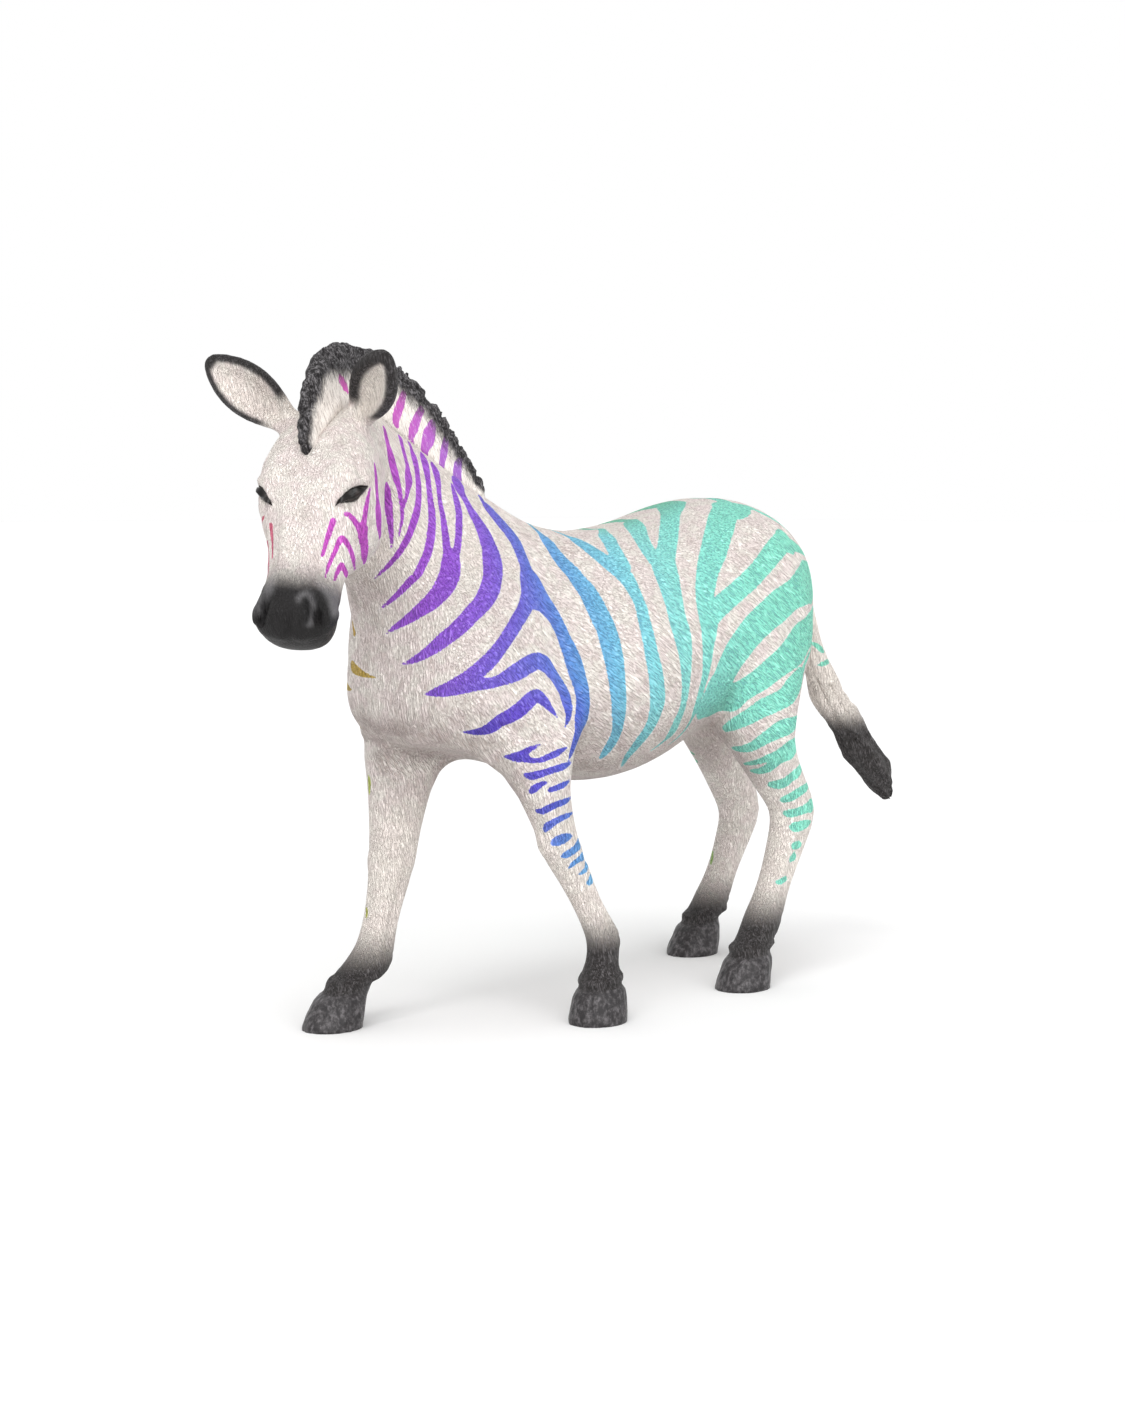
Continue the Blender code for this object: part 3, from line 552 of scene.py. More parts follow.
for name, joints in LEG_JOINTS.items():
    root, knee, fetlock = (np.array(joint) for joint in joints[:3])
    out = np.array((0.0, -1.0 if "left" in name else 1.0, 0.0))
    shin = fetlock - knee
    thigh = knee - root
    if name.startswith("front"):
        clay.dab(knee + ahead * 2.6 - shin * 0.02, 2.6, 0.42)
        clay.dab(knee - ahead * 2.4 + thigh * 0.02, 1.8, 0.38)
        clay.stroke([knee + shin * 0.10 + ahead * 2.4, knee + shin * 0.16 + ahead * 2.2], 1.3, -0.20)
        clay.stroke([root + thigh * 0.45 + ahead * 2.6 + out, knee - thigh * 0.15 + ahead * 1.6 + out * 2.6], 1.8, 0.22)
    else:
        clay.dab(knee - ahead * 4.4 - thigh * 0.05, 2.2, 0.55)
        clay.dab(knee + ahead * 2.2 + shin * 0.05, 2.0, 0.25)
        clay.stroke([knee - thigh * 0.35 - ahead * 2.2 + out, knee - thigh * 0.08 - ahead * 2.8 + out], 1.6, -0.32)
    for way in (1.0, -1.0):
        groove, tendon = (out * (way * 2.2) - ahead * 0.5, out * (way * 1.4) - ahead * 1.9)
        clay.stroke([knee + shin * 0.22 + groove, knee + shin * 0.85 + groove], 1.0, -0.32)
        clay.stroke([knee + shin * 0.2 + tendon, knee + shin * 0.9 + tendon], 0.9, 0.22)
    clay.dab(fetlock - ahead * 2.4, 1.9, 0.45)
    clay.dab(fetlock + out * 2.2, 1.6, 0.15)
    clay.dab(fetlock - out * 2.2, 1.6, 0.15)
    print(name, "cannon in mm", np.linalg.norm(shin).round(1))

# %% [markdown]
# ## Hooves
# A hoof is a cone of horn with a crisp ring at its top, the coronet, and a flat sole. The remeshing rounded both, so
# the coronet gets a groove with a rim of hair over it, the wall gets flutes, chips and a cleft heel, and points near
# the ground are pressed flat again. A boolean cut would give a sharper sole, but a cast one has soft edges too.

# %% Hooves
CORONET_RISE = 4.9
CORONET_SLANT = 0.09
FLUTES = 17.0
SOLE_REACH = 0.42
horn = np.zeros(len(clay.points))
for name, joints in LEG_JOINTS.items():
    offset = clay.points - np.array(joints[4])
    near = (np.abs(offset[:, 0]) < 7.0) & (np.abs(offset[:, 1]) < 5.5) & (clay.points[:, 2] < 8.0)
    height = clay.points[:, 2] - CORONET_SLANT * offset[:, 0]
    ring = falloff(np.abs(height - CORONET_RISE), 0.75) * near
    rim = falloff(np.abs(height - CORONET_RISE - 0.95), 0.7) * near
    flutes = np.sin(np.arctan2(offset[:, 1], offset[:, 0]) * FLUTES) * ease(0.5, 1.5, clay.points[:, 2])
    flutes *= ease(CORONET_RISE, CORONET_RISE - 1.2, height) * near
    heel = falloff(np.hypot(offset[:, 0] - 3.9, offset[:, 1]), 1.3) * near * ease(4.4, 3.4, clay.points[:, 2])
    fringe = grain(clay.points, 0.8, 7) * falloff(np.abs(height - CORONET_RISE - 1.4), 1.8) * near
    chips = grain(clay.points, 1.1, 8) * near * ease(CORONET_RISE, CORONET_RISE - 1.0, height) * ease(0.3, 0.9, height)
    clay.push(rim * 0.24 - ring * 0.26 + flutes * 0.05 - heel * 0.5 + fringe * 0.2 + chips * 0.08)
    horn = np.maximum(horn, near * ease(CORONET_RISE + 0.1, CORONET_RISE - 0.25, height))
sole_points = (clay.points[:, 2] < SOLE_REACH) & (clay.normals()[:, 2] < -0.3)
clay.points[sole_points, 2] = 0.0
clay.points[:, 2] = np.maximum(clay.points[:, 2], 0.0)
clay.smooth(1, 0.5 * ease(0.0, 1.0, clay.points[:, 2]))
coat_surface = clay.surface()
print("lowest and highest point in mm", clay.points[:, 2].min().round(2), clay.points[:, 2].max().round(2))

# %% [markdown]
# ## Where the stripes run
# The stripes are painted, so they don't belong in the clay: each is a stroke with its own centre line and a half
# width that swells and tapers. Each row below gives a stroke's points across the picture: x, y and half width, in
# pixels. Waves from a noise texture would be quicker, but they never give the daggers at the throat, the arch on the
# shoulder or the forks on the rump.

# %% Strokes of the head
HEAD_STROKES = {
    "cheek_long": ((370, 488, .8), (367, 505, 2.2), (364, 523, 2.6), (363, 531, 5), (364, 540, 4), (364.6, 552, 2.9),
        (365, 561, 2.2), (363, 569, .4)),
    "cheek_branch": ((345, 514, 2), (350, 515.5, 2.5), (356, 523, 3), (360.5, 529, 4), (363, 534, 4)),
    "nose_bar": ((333, 521, 3.3), (328, 537, 2.7), (322.5, 555, 1.9)),
    "arch": ((325.5, 577, 1), (327, 570, 1.8), (331, 560, 2.3), (335.7, 550, 2.5), (339, 542, 3), (342, 538, 2.8),
        (346, 542, 2.8), (350.5, 550, 2.1), (353.5, 560, 1.8), (354.8, 570, 1.2), (353.5, 578, .4)),
    "inner_arch": ((334.5, 580, 1.5), (337.5, 572, 2.2), (341.5, 565, 2.4), (345, 571, 1.9), (348, 579, 1.3),
        (349, 585, .5)),
    "lip_tick": ((342, 586, 2), (344.5, 595, .6)),
    "temple_left": ((374.5, 464, 1.6), (376, 474, 3.6), (376.8, 489, 3.5), (378, 504, 3.4), (379, 515, 3.4),
        (379.8, 531, 2.8), (380.8, 548, 1.8), (380.9, 552, .6)),
    "temple_right": ((377, 474, 6), (380.2, 481, 5.6), (385, 489, 5), (387.5, 499, 4.4), (389.2, 511, 4),
        (390.2, 523, 3.4), (391.5, 536, 2.4), (391.6, 548, 1)),
}
print("strokes on the head", len(HEAD_STROKES))

# %% [markdown]
# ## Strokes of the neck
# The neck's stripes hang from the mane and curve forwards to the throat, where each thins out to a point. One is a
# fork, whose two upper arms run into one broad lower arm.

# %% Strokes of the neck
NECK_STROKES = {
    "throat_1": ((384.7, 429, 3.3), (387, 440.5, 4.5), (390, 454, 3.2), (393.5, 467, 3.5), (396.5, 479, 3.4),
        (398.7, 486, 2.8), (400.4, 496, 2.2), (402, 508, 2.2), (402.3, 517, 1.9), (401, 526, 1.5), (398.7, 537, .8)),
    "throat_2": ((393, 423, 2.5), (398.7, 433, 2.9), (402.3, 446, 3.3), (405.3, 458, 3.6), (407.8, 468, 3.9),
        (408.6, 479, 3.4), (407.8, 489, 2.3), (406, 499, 1.7), (403, 511, .6)),
    "throat_3": ((405.3, 434, 1.5), (410.4, 446, 2.2), (413.3, 455, 2.4), (416.3, 467, 2.2), (417.7, 477, 2.2),
        (418.5, 486, 2.6), (418.5, 499, 2.7), (417, 511, 3.5), (414, 521, 3.8), (410.4, 531.5, 3.6),
        (406.7, 540, 3.5), (401.6, 549, 3.3), (394.3, 559, 2.8), (387, 567, 2.3), (379.6, 574, 1.5), (373, 580, .3)),
    "neck_1": ((419, 447, 1.5), (423.6, 458, 2.8), (426.5, 471, 2.7), (428.7, 486, 2.3), (430.2, 499, 2.9),
        (431.7, 511, 3.5), (432, 523, 3.8), (431, 534, 4.3), (429.5, 545, 4.3), (427.3, 553.5, 4.5),
        (423.6, 562, 4.5), (417.7, 574, 4.2), (410.4, 581, 3.9), (403, 589, 3.5), (394.3, 597.5, 2.6),
        (385.5, 605, 1.8), (379, 611, .3)),
    "neck_2_front": ((431, 461, .8), (435.3, 470, 2.6), (438, 482, 2.4), (439, 493, 2), (440.5, 505, 2.2),
        (442.7, 515, 2.6), (444.4, 527, 3.3), (445.6, 537, 3.7), (446.8, 548, 4), (448, 556, 5.5)),
    "neck_2_rear": ((451.8, 484.5, .8), (455, 495, 2.2), (457.3, 504, 2.9), (459, 514, 3.1), (459, 526, 3.4),
        (458.5, 537, 3.4), (457.3, 548, 3.7), (455, 556, 4.6)),
    "neck_2": ((451.2, 557, 8.5), (450.7, 565, 10), (449.3, 575.5, 10.6), (445.6, 584, 10.5), (439.7, 593, 9.5),
        (431, 602, 8.5), (422, 609, 7), (412, 616.5, 5.5), (403, 622.4, 4), (394, 628, 2.6), (385.5, 634, .5)),
    "neck_3": ((461, 463, 2), (457.3, 468, 3.7), (457.3, 479, 4.1), (458.8, 487.5, 3.6), (463.2, 496, 2.5),
        (469, 506.5, 2.7), (473.5, 515, 4), (479.3, 524, 4.7), (484.5, 534, 6), (488, 543, 6.8), (491, 552, 7.9),
        (492.8, 564, 9.5), (492.8, 575.5, 9.4), (491, 586, 10), (486.7, 596, 10), (480.8, 605, 9.2),
        (472, 613.6, 8.8), (464.7, 622, 8.5), (456, 630, 8), (444, 639.5, 7.5), (436, 646, 6.6), (427, 652.5, 5.2),
        (417, 658.5, 4), (409, 662, 2.4), (402, 664, .5)),
}
print("strokes on the neck", len(NECK_STROKES))

# %% [markdown]
# ## Strokes of the trunk
# Over the shoulder the upright stripes of the barrel meet the level ones of the foreleg in an arch. The barrel's
# stripes cross the back, and those of rump and thigh fan out from the flank and run round the rear.

# %% Strokes of the trunk
BODY_STROKES = {
    "shoulder_1": ((483, 502, 2.5), (489.6, 509.5, 3.5), (498.4, 520, 3.8), (507, 530, 4.2), (514.5, 540, 4.5),
        (519.7, 550.5, 4.2), (524, 561, 4.8), (527, 571, 5.5), (529, 581, 8), (530, 592, 9), (527, 602, 7.5),
        (523.3, 611, 7), (517.5, 621, 7), (511.6, 631, 7), (505, 641, 7), (497, 652, 7.4), (488, 662, 8),
        (478, 671, 8), (468, 679, 8.5), (459, 685, 8.8), (450, 688.7, 7.6), (440, 691.4, 5.8), (431, 693.3, 3),
        (424.5, 694, .5)),
    "shoulder_2": ((529, 574, 5.5), (534, 585, 8.5), (540, 596, 8.8), (547, 607, 7.2), (553, 616, 6.4),
        (560, 629, 6.2), (564.8, 640, 6.7), (569.6, 650, 7.6), (573.3, 660, 8.3), (576.3, 670, 8.3),
        (579.3, 680, 7.8), (582, 690, 7.3), (583.2, 700, 7), (583, 710, 6.8), (581.9, 720, 6.1), (579.5, 730, 4.8),
        (576.2, 740, 3.5), (572.4, 750, 2.6), (569, 758.5, .6)),
    "shoulder_fork": ((528, 598, 6), (536, 602, 7)),
    "saddle_front": ((449, 689.5, 7), (460, 686.5, 8), (471, 684, 8), (480, 684, 6.4), (490, 683.2, 5.6),
        (500, 680.3, 5.9), (510, 675.5, 7.6), (520, 670, 8.6), (529, 664.5, 8.8), (537, 661, 8.6), (545, 664, 7),
        (551, 671, 5.3), (556.5, 680, 4.4), (562.3, 690, 4.7), (566, 700, 5), (568.3, 710, 3.9), (567.9, 719, 2.4),
        (564.8, 728, .5)),
    "elbow_arch": ((462.5, 732, .4), (470, 732.2, 2.1), (480, 731.5, 3.8), (490, 728, 5.6), (500, 721.3, 6.3),
        (510, 716, 7), (520, 709.5, 7.5), (529, 701, 7.2), (536.5, 695.5, 6.4), (543, 700, 5), (548, 705.5, 3.6),
        (553, 711.5, 2.2), (559, 718.8, .4)),
    "barrel_1": ((520.4, 517, 1.6), (529, 524, 2.2), (539.5, 533, 3), (548.3, 543, 4), (555.6, 553.5, 5),
        (563, 563, 6), (571, 571, 6.6), (578, 580, 7.4), (586, 590, 8.4), (592, 600, 9.3), (597, 610, 9.6),
        (602, 620, 9.9), (606.5, 630, 9.9), (609.5, 640, 10.2), (612, 650, 10), (614.2, 660, 9.7), (616, 671, 9),
        (617.2, 682, 8.4), (618.3, 692, 7.8), (619, 702, 7.3), (619, 712, 6.8), (618.6, 721, 5.6), (617, 731, 4.7),
        (613, 740.5, 4.1), (607.4, 749.5, 3.6), (602, 757, 1.8)),
    "barrel_2": ((554, 531, 1.2), (562, 534, 1.9), (570, 537.5, 2.6), (578, 541.5, 3.3), (586, 546.5, 4),
        (594, 552, 5), (602, 558, 5.6), (610, 564, 6.5), (620, 571, 7.6), (628, 580, 7), (633.5, 590, 6),
        (638.5, 600, 5.5), (642, 610, 5.8), (644, 620, 6), (647, 631, 6.4), (649.5, 642, 6.5), (651.3, 652, 6.7),
        (653.5, 662, 7), (655.6, 672, 7.3), (656.8, 682, 7.4), (657.6, 692, 7.4), (657.7, 702, 7.1), (656, 711, 6.2),
        (652.8, 721, 5), (647.3, 731, 4.3), (640.5, 740, 4), (633.5, 749, 3.1), (627, 757, 2), (621, 768, .4)),
    "barrel_2_fork": ((598, 525.5, 2.6), (603, 531, 3.4), (607.5, 538, 4.2), (612, 546, 4.8), (617, 555, 6),
        (621, 564, 7.5)),
    "flank_1": ((671.5, 504, 10), (670.5, 512, 10), (670, 521, 9.6), (669, 531, 9.5), (668, 541, 9),
        (666.5, 551, 9.3), (664.5, 561, 10.8), (665.5, 571, 11.3), (668.3, 581, 10.4), (671, 591, 9.7),
        (673.6, 601, 9.2), (675.9, 611, 8.5), (678.2, 621, 8.7), (681.4, 631, 8.8), (683.7, 641, 8.3),
        (685.3, 651, 7), (686, 661, 5.9), (686.2, 671, 5.1), (686.2, 681, 4.1), (685.4, 691, 3.5), (684.2, 701, 2.9),
        (681.5, 711, 2.8), (677.4, 720.5, 3.1), (673, 730.5, 2.9), (667, 738, 2.2), (660, 744, 1.6),
        (650, 751.5, .6)),
    "flank_1_fork": ((631, 520.5, 5), (637, 530, 5.5), (642, 540, 5.2), (648, 550, 5.6), (656, 560, 7)),
    "flank_2": ((727, 502.5, 9), (725, 511, 13), (722, 521, 14), (719, 532, 13.4), (716, 543, 13.2),
        (713.5, 552, 12.8), (710.3, 561, 11.8), (707.7, 571, 10.6), (706, 581, 9.9), (705, 592, 9.2),
        (706, 603, 9.5), (708, 614, 9.8), (709, 624, 8.8), (709, 633, 7.4), (708.5, 642, 6.2), (708, 651, 5.3),
        (707.3, 661, 4.6), (706.2, 671, 3.6), (704, 681, 2.9), (701.3, 690.5, 2.6), (698.5, 701, 2.4),
        (695, 712, 2.3), (690, 722, 2.1), (684, 731, 1.9), (676, 739, 1.4), (668, 745, .5)),
    "rump_top": ((729, 509, 9), (741, 507, 6.5), (750, 507.5, 4.4), (760, 512, 3.3), (768, 516, 3), (776, 521, 2.6)),
    "rump_1": ((711, 616, 9.5), (717, 609, 10), (724, 603, 10), (732, 596, 9.5), (741, 588, 9.5), (751, 579, 9.5),
        (760, 569, 9), (768, 559, 9.5), (776, 549, 10), (784, 541, 9.2), (791, 544, 6.5)),
    "rump_2": ((704, 708, 5), (710, 702, 9), (716, 693, 10.5), (722, 682, 10), (728, 668, 10.7), (736, 653, 11.6),
        (745, 640, 12.2), (754, 629, 12.6), (763, 620, 13), (772, 612, 13), (781, 604, 13), (790, 597, 12.3),
        (799, 590, 11.6), (808, 582, 10.5)),
    "rump_3": ((698, 711, 1.5), (705, 708, 4), (714, 703.5, 8), (726, 698.5, 10.5), (738, 692.5, 10.5),
        (750, 686, 10.7), (762, 678, 11), (773, 669, 11), (784, 660, 11), (795, 649, 10.5), (804, 638, 9.5),
        (811, 629, 7.5)),
    "thigh_1": ((725, 729, 3.5), (731, 726, 5.5), (741, 721, 7), (752, 715, 8), (763, 708, 9), (774, 703, 9),
        (785, 697, 8.5), (793, 688, 7.5), (800, 678, 5.5), (803, 670, 3.6)),
    "thigh_2": ((733, 748.5, 1), (738, 749, 2.5), (746, 748.5, 4), (755, 745, 5), (764, 739, 6), (773, 733.5, 7),
        (781, 729, 8), (787, 727, 8)),
}
print("strokes on the trunk", len(BODY_STROKES))

# %% [markdown]
# ## Strokes of the legs
# Down the legs the stripes turn into short level bars on the outer side, then into spots, and end above the soot.

# %% Strokes of the legs
LEG_STROKES = {
    "gaskin_1": ((745, 764, 1.2), (753, 763, 2.4), (762, 760.5, 3), (770, 757.5, 4), (778, 756.5, 6.5),
        (785, 753, 7.4), (790, 750, 7.6)),
    "gaskin_1_fork": ((752, 771, 1.6), (760, 771, 3.3), (768, 768, 4.4), (775, 763, 4.5), (780, 758, 5)),
    "gaskin_2": ((771, 784.5, 3), (777, 784.5, 4.5), (784, 783, 4.5), (791, 777.5, 4), (797, 773, 4)),
    "gaskin_3": ((782, 800, 2), (786, 799, 3.8), (792, 796.5, 4.2), (799, 792, 4), (804, 789, 3.5)),
    "hock_1": ((785, 813, 2.5), (789, 813.5, 4), (797, 812, 4.2), (805, 809, 4), (811, 805.5, 4.2)),
    "hock_2": ((792, 827, 3), (795, 827, 5), (800, 826, 5), (805, 824.5, 4.2)),
    "hind_cannon_1": ((794, 846, 3.2), (797.5, 845, 3.3)),
    "hind_cannon_2": ((791, 859, 1.8), (793, 856.5, 2.6)),
    "hind_cannon_3": ((777, 882, 2), (780, 882, 2.6), (785, 879, 2)),
    "forearm_1": ((504, 756.5, .8), (510, 757, 3), (517, 757, 5), (523, 757.5, 5.2), (532, 760.5, 2.8),
        (541, 760, 2.7), (548, 757, 3.2), (555, 754, 3.3), (559, 752, 3)),
    "forearm_1_fork": ((521, 755, 4.5), (529, 749.8, 3), (536, 746.5, 1.8), (541, 744.5, .5)),
    "forearm_2": ((526, 775, 2.5), (532, 776, 4.2), (540, 774, 4), (548, 771.5, 3.3), (556, 769, 3.5),
        (562, 767, 3.5)),
    "forearm_3": ((531, 792, 2.5), (534, 789, 4), (540, 785, 3), (545, 783, 2), (549, 783, .8)),
    "forearm_3_rear": ((550, 790, 2.8), (556, 788, 2.8), (563, 785, 2.8)),
    "forearm_4": ((538, 811, 2.5), (543, 811, 3.5), (550, 807.5, 3.5), (557, 804.5, 3.3), (565, 801.5, 2.8)),
    "forearm_5": ((545, 831, 2), (547, 827, 4), (551, 824, 3.7), (558, 820, 3), (564, 817, 2.8), (568, 815.5, 2.3)),
    "knee_1": ((554, 843, 3), (558, 841, 5), (563, 839, 5), (568, 837, 3.3), (573, 835, 1)),
    "knee_2": ((563, 856, 2), (567, 854.5, 3.5), (573, 851, 3.2), (577, 847, 3), (580, 842, 2.2)),
    "cannon_1": ((569, 868, 1), (573, 864, 2.3), (578, 860, 2.3), (582, 857, 2.2), (584, 854, 1.2)),
    "cannon_2": ((579, 874, 1), (583, 872, 1.8), (586, 869, 2), (586.5, 864, 1.8), (585, 861, 1)),
    "cannon_3": ((587, 883, 1.5), (590.5, 881, 3.2), (591, 876, 1.4)),
}
print("strokes on the legs", len(LEG_STROKES))

# %% [markdown]
# ## Small marks
# Strokes also draw the painted shade in the nostrils, the painted highlights on the muzzle, the bars of the tail, and
# the few marks at the edge of the far side. Those on the right legs are yellow-green, so each gets its own place in
# the row of colours.
# Last comes which strokes run on over the back, and which run round the rear, and how far in millimetres.

# %% Small marks
TAIL_STROKES = {
    "tail_1": ((811, 643, 0.8), (815, 644.5, 2.2), (820, 648, 2.4), (823, 651, 1.2)),
    "tail_2": ((817, 665, 0.6), (821, 664.5, 2.2), (826, 662.5, 2.4), (829, 660.5, 1.4)),
}
# Painted shade: the dark pits of the nostrils.
NOSTRIL_MARKS = {
    "near": ((304.5, 599, 1.4), (306.5, 606, 2.8), (307, 614, 3), (305.5, 622, 1.4)),
    "far": ((264.5, 600, 0.8), (263.8, 608, 1.6), (264.5, 617, 1.8), (266, 624, 1)),
}
# Painted highlights: grey glints at the nostrils' rims, on the bridge of the nose and on the cheek.
PAINTED_HIGHLIGHT_MARKS = {
    "near_rim": ((299.5, 598.5, 0.3), (303, 595.5, 0.7), (308, 595, 0.8), (312, 600, 0.6), (313.5, 606, 0.3)),
    "near_glint": ((309.5, 610, 0.3), (310.8, 616, 0.7), (309.5, 623, 0.4)),
    "far_rim": ((257.5, 612, 0.5), (258.5, 605, 1.1), (262, 599.5, 1.0)),
    "bridge": ((275, 572, 0.6), (271, 580, 2.2), (268.5, 588, 2.4), (266, 596, 1)),
    "cheek": ((322, 584, 2), (331, 592, 4.5), (335, 602, 4.5), (334, 611, 2)),
}
FAR_MARKS = {
    **TAIL_STROKES,
    "throat_tick": ((347.5, 600, 0.8), (348, 605, 1.6), (349, 612, 0.8)),
    "throat_spot": ((352.5, 621, 1.4), (353, 626, 2.4), (354, 632, 1.8)),
    "chest_dagger": ((351.5, 663, 1.2), (354, 668, 3.2), (360, 672.5, 3.2), (367, 675.5, 2.0), (377, 678, 0.5)),
    "far_forearm": ((368.8, 776, 0.7), (369.4, 784, 1.4), (369.2, 794, 0.8)),
    "far_cannon": ((366.4, 908, 0.6), (366.8, 913, 1.2), (366.2, 918, 0.6)),
    "far_gaskin": ((712.5, 852, 0.7), (711.8, 858, 1.5), (710.8, 864, 0.7)),
}
FAR_LEG_HUES = {"far_forearm": 0.57, "far_cannon": 0.60, "far_gaskin": 0.48}
RUNS_OVER_THE_BACK = ("shoulder_1", "barrel_1", "barrel_2", "barrel_2_fork", "flank_1", "flank_1_fork", "flank_2")
RUNS_ROUND_THE_REAR = {"rump_top": 5.0, "rump_1": 8.0, "rump_2": 9.5, "rump_3": 9.0, "thigh_1": 7.0, "thigh_2": 7.5,
                       "gaskin_1": 5.0, "gaskin_2": 4.0, "gaskin_3": 3.5, "hock_1": 2.5, "hock_2": 2.2,
                       "hind_cannon_1": 1.2, "forearm_1": 2.2, "forearm_2": 3.0, "forearm_3_rear": 2.6,
                       "forearm_4": 2.6, "forearm_5": 2.2, "knee_2": 1.6, "cannon_1": 1.2}
print("small marks", len(FAR_MARKS) + len(NOSTRIL_MARKS) + len(PAINTED_HIGHLIGHT_MARKS))

# %% [markdown]
# ## From the picture onto the coat
# A ray through each point finds the coat. Rays through both edges of the stroke give its true half width, which is
# larger than it looks where the coat turns away. An edge ray that finds something much too far off has hit what lies
# behind, and isn't counted. Where the line itself jumps, only its longest run is kept.

# %% A line on the coat
STEPS_BETWEEN = 3
SMALLEST_HALF = 0.25
LARGEST_JUMP = 2.6
FARTHEST_EDGE = 2.6
HALF_WITHOUT_EDGE = 1.3


def rounded_path(path):
    """A path with more points, rounded through the given ones."""
    path = np.asarray(path, dtype=float)
    padded = np.vstack((2 * path[0] - path[1], path, 2 * path[-1] - path[-2]))
    result = []
    for index in range(1, len(padded) - 2):
        before, here, after, beyond = padded[index - 1:index + 3]
        for step in range(STEPS_BETWEEN):
            t = step / STEPS_BETWEEN
            bow = 2 * before - 5 * here + 4 * after - beyond
            twist = 3 * here - before - 3 * after + beyond
            result.append(0.5 * (2 * here + (after - before) * t + bow * t * t + twist * t ** 3))
    result.append(path[-1])
    result = np.array(result)
    result[:, 2] = np.maximum(result[:, 2], SMALLEST_HALF)
    return result


def painted_line(path, surface):
    """Places on a surface and half widths in millimetres for a stroke drawn in the picture."""
    path = rounded_path(path)
    heading = np.gradient(path[:, :2], axis=0)
    heading /= np.maximum(np.linalg.norm(heading, axis=1, keepdims=True), 1e-6)
    places, halves = [], []
    for (x, y, half), (along_x, along_y) in zip(path, heading):
        place = seen_at(x, y, surface)
        if place is None:
            continue
        nominal = half * ((place - EYE_PLACE) @ eye_ahead) / FOCAL_PIXELS
        edges = [seen_at(x - along_y * half * way, y + along_x * half * way, surface) for way in (1.0, -1.0)]
        measured = [np.linalg.norm(edge - place) for edge in edges if edge is not None]
        measured = [value for value in measured if value < nominal * FARTHEST_EDGE]
        places.append(place)
        halves.append(sum(measured) / len(measured) if measured else nominal * HALF_WITHOUT_EDGE)
    places, halves = np.array(places), np.array(halves)
    if len(halves) < 2:
        return places, halves
    if len(halves) > 4:
        halves[1:-1] = (halves[:-2] + 2.0 * halves[1:-1] + halves[2:]) / 4.0
    jumps = np.flatnonzero(np.linalg.norm(np.diff(places, axis=0), axis=1) > LARGEST_JUMP) + 1
    runs = np.split(np.arange(len(places)), jumps)
    kept = max(runs, key=len)
    return places[kept], halves[kept]


nose_lines = [painted_line(path, coat_surface) for path in NOSTRIL_MARKS.values()]
painted_highlight_lines = [painted_line(path, coat_surface) for path in PAINTED_HIGHLIGHT_MARKS.values()]
print("points on the nostrils", sum(len(halves) for _, halves in nose_lines))

# %% [markdown]
# ## Over the edge and onto the other side
# A stroke that runs on over an edge is walked on in short steps, each pulled back to the nearest place on the coat, and
# it thins out as it goes. The far side's strokes are the near side's mirrored, on the legs carried from leg to leg,
# and pulled onto the coat the same way. Where that makes a line jump or turn back, the longest good run is kept.

# %% Helpers for the far side
WALK_STEP = 0.5
SHORTEST_STEP = 0.05
THINNING = 0.7
FAR_JUMP = 1.4
TURN_BACK = -0.1


def walked_on(places, halves, length, surface):
    """The stroke carried on over the surface from its last point, thinning out."""
    heading = places[-1] - places[-4 if len(places) > 4 else 0]
    heading /= max(np.linalg.norm(heading), 1e-6)
    steps = int(length / WALK_STEP)
    here = places[-1]
    new_places, new_halves = [], []
    for step in range(steps):
        found = np.array(surface.find_nearest(Vector(here + heading * WALK_STEP))[0])
        move = found - here
        if np.linalg.norm(move) < SHORTEST_STEP:
            break
        heading = 0.5 * heading + 0.5 * move / np.linalg.norm(move)
        heading /= np.linalg.norm(heading)
        here = found
        new_places.append(found)
        new_halves.append(halves[-1] * (1.0 - (step + 1) / steps) ** THINNING)
    if not new_places:
        return places, halves
    return np.vstack((places, new_places)), np.concatenate((halves, new_halves))


def snapped(places, surface):
    """Each place moved to the nearest one on the surface."""
    return np.array([surface.find_nearest(Vector(place))[0] for place in places])


def unbroken(places, halves):
    """The longest run of a stroke without a jump or a turn back."""
    steps = np.diff(places, axis=0)
    lengths = np.linalg.norm(steps, axis=1)
    ways = steps / np.maximum(lengths, 1e-6)[:, None]
    breaks = lengths > FAR_JUMP
    breaks[1:] |= np.sum(ways[1:] * ways[:-1], axis=1) < TURN_BACK
    kept = max(np.split(np.arange(len(places)), np.flatnonzero(breaks) + 1), key=len)
    return places[kept], halves[kept]


def leg_to_leg(places, here, there):
    """Places on one leg carried over to the same part of another, with inside and outside swapped."""
    here, there = np.array(here), np.array(there)
    result = []
    for place in places:
        ways = [to_segment(place[None], here[i], here[i + 1]) for i in range(3)]
        index = int(np.argmin([away[0] for away, _ in ways]))
        share = ways[index][1][0]
        old = here[index + 1] - here[index]
        new = there[index + 1] - there[index]
        offset = place - (here[index] + old * share)
        turn = math.atan2(new[0], -new[2]) - math.atan2(old[0], -old[2])
        x = offset[0] * math.cos(turn) - offset[2] * math.sin(turn)
        z = offset[0] * math.sin(turn) + offset[2] * math.cos(turn)
        result.append(there[index] + new * share + np.array((x, -offset[1], z)))
    return np.array(result)


left_hind, right_hind = LEG_JOINTS["rear_left_leg"], LEG_JOINTS["rear_right_leg"]
print("the left hock carried to the right leg", leg_to_leg(np.array(left_hind[1:2]), left_hind, right_hind).round(1))

# %% [markdown]
# ## Laying the strokes
# Each stroke is laid on the near side, walked on where it has to be, and laid again on the far side. There a slow wave
# shifts it a little, because no zebra's two sides are quite alike. Stripes of the throat are left out where they would
# meet under it, and the stripes over the back are joined to their mirror images.

# %% Strokes on the coat
THROAT_CLEAR = 3.5
SPINE_POINTS = 9

